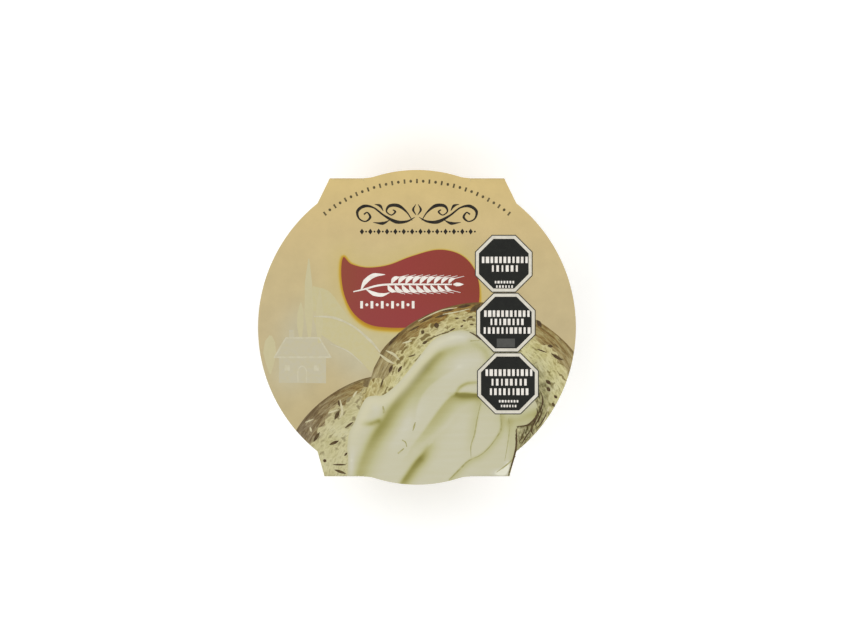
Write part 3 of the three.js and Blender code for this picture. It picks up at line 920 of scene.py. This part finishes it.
u, v = spots.T
banner_gap = from_outline(banner)
spread_gap = from_outline(spread)
low = np.maximum(ease(v, *LOW_FRONT), ease(u, *LOW_LEFT))
glow = bell(banner_gap, GLOW_WIDTH + LOW_GLOW_WIDTH * low, GLOW_FALL) * (GLOW + LOW_GLOW * low)
glow = np.maximum(glow, HALO * bell(banner_gap, HALO_WIDTH) * ease(v, *HALO_BACK))
glow = np.maximum(glow, BAND_GLOW * bell(abs(v) - band_edge(u), BAND_GLOW_WIDTH))
tone = LIGHT_TONE - DIP * ease(u, *DIP_RIGHT)
for trough in TROUGHS:
    tone -= swell(*trough)
for crest in CRESTS:
    tone += swell(*crest)
tone -= RIM_DIP * bell(spread_gap, RIM_WIDTH)
warm = WARM * bell(spread_gap - WARM_INSET, WARM_WIDTH) * ease(u, *WARM_LEFT) * ease(v, *WARM_BACK)
shade = np.maximum(bell(spread_gap, RIM_WIDTH) * RIM_SHADE * ease(u, *SHADE_RIGHT), swell(*DUSK))
on_right = np.hypot(*(spots - SLICES["right"][0]).T) < SLICES["right"][1] + BREAD_MARGIN
around = np.zeros(count)
across = np.zeros(count)
for name, chosen in (("left", ~on_right), ("right", on_right)):
    middle, radius = SLICES[name][:2]
    offset = spots - middle
    turn = (np.arctan2(offset[:, 1], offset[:, 0]) - HIDDEN_SEAM) % math.tau
    around[chosen] = (turn * radius)[chosen]
    across[chosen] = (radius - np.hypot(*offset.T))[chosen]
fold_gap = np.min([abs(abs(v) - (start + end) / 2) for start, end in fold_rows], 0)
wear = FOLD_WEAR * bell(fold_gap, FOLD_WEAR_WIDTH) * ~stays_flat(u, v)
at_cut = list({i for edge in rim_edges for i in edge})
wear[at_cut] = np.maximum(wear[at_cut], CUT_WEAR)
measures = {"glow": glow, "haze": swell(*HAZE), "meadow": swell(*MEADOW), "tone": np.clip(tone, 0, 1)}
measures |= {"warm": warm, "shade": shade, "slice": on_right, "around": around, "across": across}
for name, values in {**measures, "wear": wear}.items():
    held = sleeve_mesh.attributes.new(name, "FLOAT", "POINT")
    held.data.foreach_set("value", np.concatenate([values, values]).astype(np.float32))
sleeve_mesh.shade_smooth()
sleeve_mesh.set_sharp_from_angle(angle=SHARP_EDGE)
sleeve = placed("sleeve_board", sleeve_mesh)
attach(sleeve, "root")
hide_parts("sleeve")

# The scroll and the line of lozenges under it
# A pen-drawn scroll in brown-black ink, the same to the left and the right, with thick and thin strokes.
# Like all small marks on the panel it is a layer of ink on the board, in a piece of its own.
INK_DEPTH = 0.02
OVERPRINT = 0.0008
PANEL_TOP = PACK_HEIGHT
SCROLL = [
    ([(0.7, 34.6), (3.2, 33.3), (6.6, 33.2), (10.4, 35.2), (13.6, 37.6), (16.6, 38.1), (18.7, 36.5),
      (18.2, 34.2), (16.2, 33.3), (14.7, 34.6), (15.6, 36.1), (16.7, 35.5)],
     [0.2, 0.7, 1.15, 0.6, 0.5, 1.0, 0.9, 0.5, 0.4, 0.8, 0.4, 0.5]),
    ([(1.5, 33.6), (3.2, 36.2), (5.8, 38.2), (8.6, 38.2), (9.6, 36.5), (8.1, 35.3), (6.8, 36.3), (7.6, 37)],
     [0.2, 0.5, 1.1, 0.95, 0.45, 0.35, 0.6, 0.3]),
    ([(8.6, 33.7), (10.8, 32.7), (13.8, 33)], [0.15, 1.0, 0.12]),
    ([(10.6, 36.6), (11.6, 38.2), (13.3, 38.7)], [0.15, 0.9, 0.12]),
    ([(0.25, 35.3), (1.2, 37), (0.35, 38.7)], [0.15, 0.75, 0.12]),
]
LOZENGE_LINE = ((-17.3, 30.1), (18.2, 30.1))
LOZENGE_STEP = 1.28
DOTS = {"every": 2, "first": 1, "corners": 12, "turn": 0}


def pen(path, widths, steps=8):
    """A stroke as its left and right edges: the widths in mm are spread along it."""
    line = smooth(path, False, steps)
    along = np.gradient(line, axis=0)
    along /= np.hypot(*along.T)[:, None]
    shares = np.linspace(0, 1, len(line))
    half = np.interp(shares, np.linspace(0, 1, len(widths)), widths)[:, None] / 2
    across = np.stack([-along[:, 1], along[:, 0]], 1)
    return line + across * half, line - across * half


def strokes(rows):
    """A stroke of the pen for each row of a path and its widths."""
    return [pen(path, widths) for path, widths in rows]


def inked(name, shapes, ink, foot=PANEL_TOP, depth=INK_DEPTH):
    """Flat closed shapes, each between a left and a right edge and a hair above the last, as one piece."""
    corners, faces = [], []
    for left, right in shapes:
        first = len(corners)
        last = first + 4 * (len(left) - 1)
        depth += OVERPRINT
        for (x0, y0), (x1, y1) in zip(left, right):
            corners += [(x0, y0, foot + depth), (x1, y1, foot + depth), (x1, y1, foot), (x0, y0, foot)]
        faces += [(first + 3, first + 2, first + 1, first), (last, last + 1, last + 2, last + 3)]
        for ring in range(first, last, 4):
            for k, j in ((0, 1), (1, 2), (2, 3), (3, 0)):
                faces.append((ring + k, ring + j, ring + 4 + j, ring + 4 + k))
    mesh = bpy.data.meshes.new(name)
    mesh.from_pydata([(x * MM, y * MM, z * MM) for x, y, z in corners], [], faces)
    mesh.materials.append(ink)
    piece = placed(name, mesh)
    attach(piece, "root")


def solid_ink(name, colour, thin):
    """One ink printed at full strength, a little thinner here and there."""
    patch_size = 1.2

    def paint(tree):
        place = add(tree, "ShaderNodeTexCoord").outputs["Object"]
        patchy = {"Vector": place, "Scale": 1 / (patch_size * MM), "Detail": 4}
        clouds = add(tree, "ShaderNodeTexNoise", patchy)
        return add(tree, "ShaderNodeValToRGB", {"Fac": clouds, "stops": [(0.35, thin), (0.6, colour)]})

    return finish(name, SATIN_VARNISH, {"Base Color": paint})


def mark_tree():
    """Equal marks at even steps along paths: every so-many-th step, from a first one on, carries one."""
    inputs = {"Paths": "Geometry", "Step": "Float", "Every": "Int", "First": "Int", "Corners": "Int"}
    inputs |= {"Turn": "Float", "Size": "Vector", "Shortest": "Float", "Ink": "Material"}
    tree, given = new_tree("marks on a line", inputs)
    lines = add(tree, "GeometryNodeMeshToCurve", {"Mesh": given["Paths"]})
    spacing = {"mode": "LENGTH", "Curve": lines, "Length": given["Step"]}
    spots = add(tree, "GeometryNodeCurveToPoints", spacing)
    counted = {"operation": "MODULO", 0: add(tree, "GeometryNodeInputIndex"), 1: given["Every"]}
    turn_of = add(tree, "ShaderNodeMath", counted)
    chosen = add(tree, "ShaderNodeMath", {"operation": "COMPARE", 0: turn_of, 1: given["First"], 2: 0.5})
    solid = {"Vertices": given["Corners"], "Radius": 0.5, "Depth": 1.0}
    turn = add(tree, "ShaderNodeCombineXYZ", {"Z": given["Turn"]})
    shape = {"Geometry": add(tree, "GeometryNodeMeshCylinder", solid), "Rotation": turn}
    flat_width = add(tree, "ShaderNodeMath", {"operation": "COSINE", 0: given["Turn"]})
    widths = add(tree, "ShaderNodeCombineXYZ", {"X": flat_width, "Y": flat_width, "Z": 1.0})
    full = add(tree, "ShaderNodeVectorMath", {"operation": "DIVIDE", 0: given["Size"], 1: widths})
    drawn = {"data_type": "FLOAT", "Min": given["Shortest"], "Max": 1.0, "Seed": 5}
    length = add(tree, "FunctionNodeRandomValue", drawn).outputs[1]
    uneven = add(tree, "ShaderNodeCombineXYZ", {"X": length, "Y": 1.0, "Z": 1.0})
    facing = {"axis": "X", "pivot_axis": "Z", "Vector": spots.outputs["Tangent"]}
    copying = {
        "Points": spots,
        "Selection": chosen,
        "Instance": add(tree, "GeometryNodeTransform", shape),
        "Rotation": add(tree, "FunctionNodeAlignRotationToVector", facing),
        "Scale": add(tree, "ShaderNodeVectorMath", {"operation": "MULTIPLY", 0: full, 1: uneven}),
    }
    return end_tree(tree, copying, given["Ink"])


def marks(name, paths, step, size, ink, slot, every=1, first=0, corners=4, turn=math.pi / 4,
          shortest=1.0, foot=PANEL_TOP):
    """Marks of one size in mm along paths in mm, as one piece of ink laid on a surface."""
    points, edges = [], []
    for path in paths:
        start = len(points)
        points += [(x * MM, y * MM, (foot + INK_DEPTH / 2) * MM) for x, y in path]
        edges += [(i, i + 1) for i in range(start, len(points) - 1)]
    mesh = bpy.data.meshes.new(name + "_paths")
    mesh.from_pydata(points, edges, [])
    settings = {"Step": step * MM, "Every": every, "First": first, "Corners": corners, "Turn": turn}
    settings |= {"Size": (size[0] * MM, size[1] * MM, INK_DEPTH * MM), "Shortest": shortest, "Ink": ink}
    piece = grown(name, marks_on_a_line, settings, mesh)
    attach(piece, "root")


marks_on_a_line = mark_tree()
dark_ink = solid_ink("brown_black_ink", "#15120B", "#2A2418")
scroll = SCROLL + [([(-x, y) for x, y in path], widths) for path, widths in SCROLL]
inked("scroll", strokes(scroll), dark_ink)
marks("lozenges", [LOZENGE_LINE], LOZENGE_STEP, (1.35, 1.9), dark_ink, "ornament_ink", every=2, turn=0)
marks("lozenge_dots", [LOZENGE_LINE], LOZENGE_STEP, (0.6, 0.6), dark_ink, "ornament_ink", **DOTS)

# The beads and bars along the panel's upper edge
# A row of small marks that runs parallel to the panel's round edge, in the same dark ink, thinner.
BEAD_ARC_RADIUS = 46.0
BEAD_ARC_HALF = math.radians(39)
BEAD_STEP = 1.95

bead_arc = arc((0, 0), BEAD_ARC_RADIUS, math.pi / 2 + BEAD_ARC_HALF, math.pi / 2 - BEAD_ARC_HALF)
faint_ink = solid_ink("thin_brown_black_ink", "#4A4126", "#6B6040")
marks("edge_bars", [bead_arc], BEAD_STEP, (0.55, 1.35), faint_ink, "ornament_ink", every=2)
marks("edge_beads", [bead_arc], BEAD_STEP, (0.85, 0.95), faint_ink, "ornament_ink", **DOTS)

# The ear of wheat and the dotted line on the banner
# Opaque white ink over the red: one bearded ear that lies along the banner, with two leaves, and a row
# of dashes below it.
EAR_START = -8.6
EAR_STEP = 2.25
EAR_PAIRS = 9
EAR_HEIGHT = 13.5
GRAIN_LEAN = math.radians(38)
GRAIN_LENGTH = 3.3
GRAIN_WIDTHS = (1.3, 1.2)
GRAIN_BULGE = (-0.35, 0.45)
GRAIN_STAGGER = 0.25
GRAIN_INSET = 0.3
GRAIN_SHRINK = 0.3
BEARD = (2.6, 0.5)
TIP_INSET = 0.1
STALKS = [
    ([(-20, 11.2), (-16.5, 12), (-12.5, 13.1), (-8, 13.5), (2, 13.5), (11, 13.5)], [0.35, 0.6, 0.6, 0.4]),
    ([(-17.6, 11.8), (-16.2, 14.4), (-13.6, 16.3), (-10, 16.6)], [0.3, 1.5, 1.4, 0.15]),
    ([(-16, 12), (-13.6, 10.6), (-11, 10.2), (-8.6, 10.9)], [0.3, 1.3, 1.1, 0.15]),
]
DASH_LINE = ((-17.4, 7.1), (-1.2, 7.1))
DASH_STEP = 1.5

wheat = strokes(STALKS)
for i in range(EAR_PAIRS):
    plump = 1.0 - GRAIN_SHRINK * (i / EAR_PAIRS) ** 3
    widths = [0.3, *(width * plump for width in GRAIN_WIDTHS), 0.2]
    for side in (1, -1):
        along = EAR_START + (i + GRAIN_STAGGER * side) * EAR_STEP
        foot = np.array((along, EAR_HEIGHT + GRAIN_INSET * side))
        reach = np.array((math.cos(GRAIN_LEAN), side * math.sin(GRAIN_LEAN))) * GRAIN_LENGTH * plump
        bulge = np.array(GRAIN_BULGE) * (1, side) * plump
        wheat.append(pen([foot, foot + reach * 0.5 + bulge, foot + reach], widths))
        beard_end = foot + reach * 1.1 + np.array(BEARD) * (1, side)
        wheat.append(pen([foot + reach, beard_end], [0.2, 0.14], 3))
tip = EAR_START + (EAR_PAIRS - TIP_INSET) * EAR_STEP
wheat.append(pen([(tip + past, EAR_HEIGHT) for past in (0, 1.5, 3.2)], [0.3, 1.2, 1.0, 0.15]))
white_ink = solid_ink("opaque_white_ink", "#EFEBE2", "#E3DCD2")
inked("wheat_ear", wheat, white_ink)
marks("banner_dashes", [DASH_LINE], DASH_STEP, (0.85, 2.3), white_ink, "white_ink", every=2)
marks("banner_dots", [DASH_LINE], DASH_STEP, (0.95, 0.95), white_ink, "white_ink", **DOTS)

# The pale farm at the left
# A hardly visible drawing in a paler tint of the ground: a long low farmhouse with a hipped roof and a
# chimney, three poplars behind it, a round tree beside it, and fields on the hills to its right.
HILLS = [
    ([(-32.8, 13), (-27.8, 11.4), (-23.8, 6.4), (-20.4, 1.6)],
     [(-33.4, 5.4), (-28.6, 4.4), (-24.6, 2.6), (-20.8, 0.8)]),
    ([(-32.6, 3), (-26.4, 2.6), (-20.5, 0), (-15.2, -4.2), (-11.5, -8.9)],
     [(-31.2, -1.4), (-26.4, -4.9), (-21.6, -7.4), (-17.4, -11), (-14.4, -14.4)]),
]
FARM_WALLS = [
    ([(-43.4, -17.4), (-43.4, -9.4)], [(-28.6, -17.6), (-28.6, -9.4)]),
    ([(-44.6, -9.4), (-41.2, -3.4)], [(-27.3, -9.4), (-30.8, -3.4)]),
    ([(-40.2, -3.4), (-40.2, -0.8)], [(-38.6, -3.4), (-38.6, -0.8)]),
]
FARM_TREES = [
    ([(-36.6, -3.2), (-36.7, 0.6), (-36.6, 4.6), (-36.5, 7.8)], [0.8, 2.1, 1.9, 0.3]),
    ([(-33.8, -3.2), (-34, 5), (-34.1, 14), (-34, 21.6)], [0.9, 2.7, 2.3, 0.3]),
    ([(-30.7, -5), (-30.7, 1), (-30.6, 7), (-30.5, 12.2)], [0.8, 2.4, 1.9, 0.3]),
    ([(-46.2, -14.6), (-46.2, -11.6), (-46.3, -8), (-46.2, -4.6), (-46, -2.6)], [0.5, 2.4, 4.1, 3.2, 0.8]),
]
FARM_LINES = [
    ([(-44.9, -9.4), (-36, -9.4), (-27, -9.4)], [0.5, 0.6, 0.5]),
    ([(-41.3, -3.3), (-36, -3.3), (-30.7, -3.3)], [0.4, 0.5, 0.4]),
    ([(-44.9, -9.6), (-43, -6.3), (-41.2, -3.3)], [0.4, 0.5, 0.4]),
    ([(-30.8, -3.3), (-28.9, -6.4), (-27, -9.6)], [0.4, 0.5, 0.4]),
    ([(-37.4, -17.4), (-37.4, -13.6), (-36.1, -12.2), (-34.8, -13.6), (-34.8, -17.4)],
     [0.3, 0.35, 0.35, 0.35, 0.3]),
    ([(-41.6, -12.8), (-40, -12.8)], [1.7, 1.7]),
    ([(-32.4, -12.8), (-30.8, -12.8)], [1.7, 1.7]),
    ([(-32.4, 3.5), (-26.2, 3), (-20.2, 0.4), (-14.8, -4.1), (-11.6, -7.8)], [0.2, 0.8, 0.5, 0.8, 0.3]),
    ([(-27.2, -5.2), (-21.6, -7.6), (-17, -11.6)], [0.2, 0.4, 0.2]),
]

wall_tint = solid_ink("pale_grey_tint", "#BEB79D", "#BFB797")
tree_tint = solid_ink("pale_green_tint", "#C3BA92", "#C1B890")
hill_tint = solid_ink("pale_straw_tint", "#C2B98F", "#C2B88A")
line_tint = solid_ink("paler_tint", "#C8C2A8", "#C1BA9C")
hills = [(smooth(left, False), smooth(right, False)) for left, right in HILLS]
inked("farm_hills", hills, hill_tint, depth=INK_DEPTH / 2)
inked("farm_walls", FARM_WALLS, wall_tint, depth=INK_DEPTH / 2)
inked("farm_trees", strokes(FARM_TREES), tree_tint, depth=INK_DEPTH * 0.75)
inked("farm_lines", strokes(FARM_LINES), line_tint)

# The holes and strands of the bread, the creases of the spread
# Short strokes of ink: the larger holes of the open crumb, a few torn strands that cross the crust, and
# the sharp creases that the knife left. A hole's or strand's row is its width, then its places as u, v.
HOLE_ENDS = (0.15, 0.2)
STRAND_ENDS = (0.2, 0.2)
HOLES = [
    (0.9, 12.9, 6.3, 16.9, 7), (0.65, 7.6, 5, 11.7, 5.6), (1.4, 16.7, 5, 18.2, 6, 19.9, 7.3),
    (0.6, 5.7, 3, 9, 4), (1.5, 6, 1.5, 6.3, -0.3), (1.1, 1.5, -2.1, 2.1, -0.9),
    (0.55, 11.9, 2.7, 13.2, 2.9), (0.55, 13.7, 0.1, 14.5, 0.6), (0.45, 10.4, -1, 12, -0.3),
    (0.45, -2.6, -9.3, -0.5, -8.6), (0.85, -6, -14.1, -4.8, -12.2), (0.9, -8.8, -14.3, -7.7, -11.8),
    (0.9, 1.7, -5.2, 3.3, -4.3), (0.8, -8.9, -5.8, -7, -3.1), (0.5, -11.5, -18.9, -10.6, -16.2),
    (1.3, 37.7, 2.3, 39.1, 0.1), (0.9, 41.1, -5.7, 42.7, -6.1), (0.9, 42.2, -8.2, 44, -9.4, 45.8, -10.3),
    (0.4, 37.7, -6.8, 40.7, -7.9), (1.1, 40.5, -16.6, 42.1, -17.9), (1.1, 40.8, -18.9, 41.9, -20.1),
    (0.8, 43.1, -21.4, 44.1, -22.3), (0.9, 42.5, -23.7, 43.3, -25),
    (0.45, 39.2, -20.6, 39.4, -24.3, 36.8, -30), (0.6, 38, -28, 36, -31.8, 36.5, -33.8),
    (0.6, 31.3, -31.9, 31.1, -38.2, 29.1, -45.7), (1.1, -24.4, -26.2, -25.9, -29),
    (0.95, -30.6, -33, -32.5, -36), (0.6, -20.1, -29.8, -22.6, -31.6), (0.9, -24.6, -35.7, -27.5, -36.9),
    (0.6, -21.9, -39.4, -22.8, -40.4), (1.0, -29.5, -41.7, -28.5, -42.2),
    (0.6, 37.7, -25.4, 37.8, -27.6, 36.4, -29.5, 34.6, -30.8, 31.4, -31.2),
    (0.4, 16.5, -1.5, 18.2, -2.4, 20, -3.9), (0.25, 4.2, -3.6, 7.4, -2.2, 11.2, -0.9),
    (0.55, 14.3, 2.3, 15.4, 1.9), (0.6, 16.2, 3.1, 17.6, 3.3), (0.45, 16.6, 0.9, 17.8, 0.8),
    (0.5, 1, 1.4, 4.8, 3.4), (0.45, -7.6, -4.3, -5.4, -1.6), (0.5, -2.2, -1.2, 0.6, 0.4),
    (0.45, 39.6, -25.6, 38.7, -28.2, 37.1, -31), (0.35, 41, -26.4, 39.7, -29.2, 37.9, -31.7),
    (0.45, 35.6, -32.6, 34.2, -34.5, 33.1, -36.4), (0.35, 33.8, -32.4, 33, -34.6, 32.2, -36),
    (0.5, -26.4, -43.2, -22.4, -43.2), (0.8, -25.9, -44.8, -22.4, -46), (0.6, -24.7, -23, -24.4, -24.8),
]
STRANDS = [
    (0.8, -12, -8.2, -9.5, -10.2, -7, -11.5), (0.8, -9.8, -7.3, -7.3, -8.5, -5.5, -10.3),
    (0.8, -24.2, -22.7, -23.5, -26.6, -24.4, -28.6), (0.6, -18.8, -20, -20.2, -21.9),
    (0.4, -35.1, -29.9, -32.6, -28.9), (0.6, -33.6, -31.4, -33.2, -32.9), (0.5, -28, -27, -24.6, -25.9),
    (0.35, 0.4, 1.9, 4.2, 3.9, 8.3, 5.5, 12.6, 6.2), (0.35, 8.1, 4.1, 12.3, 4.8, 16.5, 5.8),
    (0.5, -4.6, -5, -1.6, -4.2), (0.6, 41.6, -25, 41, -26.6), (0.8, 40.6, -28.2, 39.7, -29.6),
]
CREASES = [
    ([(20, -24), (18.9, -29), (18.1, -33.6), (17, -37.2), (17, -41)], [0.15, 0.3, 0.4, 0.3, 0.12]),
    ([(26.3, -27), (26.5, -31.7), (25, -34.7), (22.3, -38.2), (19.6, -40.4), (16.2, -42), (13.5, -44.6),
      (10.1, -48)],
     [0.25, 0.5, 0.35, 0.3, 0.3, 0.35, 0.5, 0.3]),
    ([(28.8, -28.6), (29.1, -32), (28.4, -37.4), (27.6, -42)], [0.3, 0.25, 0.2, 0.1]),
    ([(31, -40.6), (28.4, -43.1), (25, -45.6)], [0.25, 0.45, 0.15]),
    ([(-0.5, -29.8), (-0.9, -31.2), (-1.3, -32.6)], [0.2, 0.6, 0.2]),
    ([(-6, -39.7), (-4.1, -38.1)], [0.5, 0.35]),
    ([(-4.7, -35.4), (-3.6, -36.2), (-3.2, -37.6)], [0.3, 0.4, 0.2]),
    ([(-10.7, -24.8), (-10.3, -27)], [0.4, 0.8]),
    ([(16.8, -4.3), (19.6, -4.1)], [0.3, 0.2]),
]


def short_strokes(rows, ends):
    """Strokes from rows of a width and places, each drawn out to its ends' widths."""
    return [pen(np.reshape(places, (-1, 2)), [ends[0], wide, wide, ends[1]]) for wide, *places in rows]


hole_ink = solid_ink("baked_brown_ink", "#47331B", "#5A4A29")
strand_ink = solid_ink("pale_crumb_ink", "#C9C29E", "#BDB48C")
crease_ink = solid_ink("olive_ink", "#9C9762", "#B2AD80")
inked("bread_holes", short_strokes(HOLES, HOLE_ENDS), hole_ink)
inked("bread_strands", short_strokes(STRANDS, STRAND_ENDS), strand_ink)
inked("spread_creases", strokes(CREASES), crease_ink)

# The three stickers
# Octagons of printed film stuck on the panel one below the other: near-black, with a pale edge inside a
# thin dark outline. Rows of short white bars of uneven length run across each.
OUTLINE_WIDTH = 0.28
EDGE_WIDTH = 0.95
FILM_ROUND = 0.05
BARS = {
    "label_upper": [("large", 2.0, [(1.2, 14.3), (-1.5, 8.2)]), ("small", 0.8, [(-5.8, 6.0), (-7.2, 5.2)])],
    "label_middle": [("large", 2.0, [(2.8, 14.2), (0.2, 10.4), (-2.5, 14.6)])],
    "label_lower": [
        ("large", 2.1, [(3.4, 14.6), (0.4, 11.0), (-2.6, 12.0)]),
        ("small", 0.75, [(-5.6, 6.0), (-7.1, 4.8)]),
    ],
}
BAR_STEPS = {"large": 1.32, "small": 0.85}
BAR_SHARE = 0.8
SHORTEST_BAR = 0.45
GREY_PATCH = (-6.4, 5.7, 2.7)

film_inks = [
    solid_ink("outline_ink_on_film", "#302F2A", "#403E37"),
    solid_ink("pale_ink_on_film", "#DAD5C6", "#CFCABB"),
    solid_ink("black_ink_on_film", "#131410", "#191A15"),
]
grey_ink = solid_ink("grey_ink_on_film", "#4E4E4A", "#494945")
octagon = [math.tau * (i + 0.5) / 8 for i in range(8)]
for node, bar_groups in BARS.items():
    low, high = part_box(node)
    x, y = (low.x + high.x) / 2 / MM, (low.y + high.y) / 2 / MM
    half = (high.x - low.x) / 2 / MM
    film_top = high.z / MM
    steps = [(half, low.z / MM), (half, film_top), (half - OUTLINE_WIDTH, film_top)]
    steps.append((half - OUTLINE_WIDTH - EDGE_WIDTH, film_top))
    corners, faces = [], [tuple(reversed(range(8)))]
    for reach, height in steps:
        out = reach / math.cos(math.pi / 8)
        corners += [(x + out * math.cos(turn), y + out * math.sin(turn), height) for turn in octagon]
    for ring in (0, 8, 16):
        for i in range(8):
            j = (i + 1) % 8
            faces.append((ring + i, ring + j, ring + 8 + j, ring + 8 + i))
    faces.append(tuple(range(24, 32)))
    mesh = bpy.data.meshes.new(node + "_film")
    mesh.from_pydata([(u * MM, v * MM, z * MM) for u, v, z in corners], [], faces)
    for ink in film_inks:
        mesh.materials.append(ink)
    mesh.polygons.foreach_set("material_index", [0] * 17 + [1] * 8 + [2])
    film = placed(node + "_film", mesh)
    soften(film, FILM_ROUND, 2)
    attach(film, "root")
    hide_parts(node)
    for size, tall, rows in bar_groups:
        step = BAR_STEPS[size]
        paths = [[(x - wide / 2 + step / 2, y + up), (x + wide / 2, y + up)] for up, wide in rows]
        marks(f"{node}_{size}_bars", paths, step, (step * BAR_SHARE, tall), white_ink, "white_ink",
              shortest=SHORTEST_BAR, foot=film_top)
    if node == "label_middle":
        up, wide, tall = GREY_PATCH
        left = np.array([(x - wide / 2, y + up + side * tall / 2) for side in (-1, 1)])
        inked("label_middle_patch", [(left, left + (wide, 0))], grey_ink, film_top)

# The floor, the lights and the camera
# A plain pale sheet of paper under the pack, big soft lights round it that throw no glare on the
# varnish, and a camera that looks straight down, as the photograph does.
FLOOR_HALF = 3.0
PAPER_GLOW = 0.2
LIGHT_REACH = 0.75
LIGHT_HEIGHT = 0.95
LIGHT_SIZE = 0.9
LIGHT_WATTS = (3.0, 3.9, 3.9, 3.0)
ROOM_LIGHT = 0.36
CAMERA_RISE = 673.4
CAMERA_RIGHT = 3.0
CAMERA_BACK = 2.3
LENS = 85
NEAREST = 0.05

floor_mesh = bpy.data.meshes.new("floor")
floor_corners = [(x * FLOOR_HALF, y * FLOOR_HALF, 0) for x, y in ((-1, -1), (1, -1), (1, 1), (-1, 1))]
floor_mesh.from_pydata(floor_corners, [], [(0, 1, 2, 3)])
floor = placed("floor", floor_mesh)
matt_paper = {"Base Color": "#FBFBFA", "Roughness": 0.9, "Emission Color": "#FFFFFF"}
floor_mesh.materials.append(finish("matt_paper", {**matt_paper, "Emission Strength": PAPER_GLOW}))

for i, watts in enumerate(LIGHT_WATTS):
    turn = math.tau * (i + 0.5) / len(LIGHT_WATTS)
    lamp = bpy.data.lights.new(f"softbox_{i}", "AREA")
    lamp.shape = "DISK"
    lamp.size = LIGHT_SIZE
    lamp.energy = watts
    holder = placed(lamp.name, lamp)
    holder.location = (LIGHT_REACH * math.cos(turn), LIGHT_REACH * math.sin(turn), LIGHT_HEIGHT)
    holder.rotation_euler = (0, math.atan2(LIGHT_REACH, LIGHT_HEIGHT), turn)

room = bpy.data.worlds.new("studio")
room.use_nodes = True
background = room.node_tree.nodes["Background"].inputs
background["Color"].default_value = linear("#FFFFFF")
background["Strength"].default_value = ROOM_LIGHT
bpy.context.scene.world = room
bpy.context.scene.view_settings.view_transform = "Standard"

lens = bpy.data.cameras.new("camera")
lens.lens = LENS
lens.clip_start = NEAREST
camera = placed("camera", lens)
camera.location = (CAMERA_RIGHT * MM, CAMERA_BACK * MM, CAMERA_RISE * MM)
bpy.context.scene.camera = camera
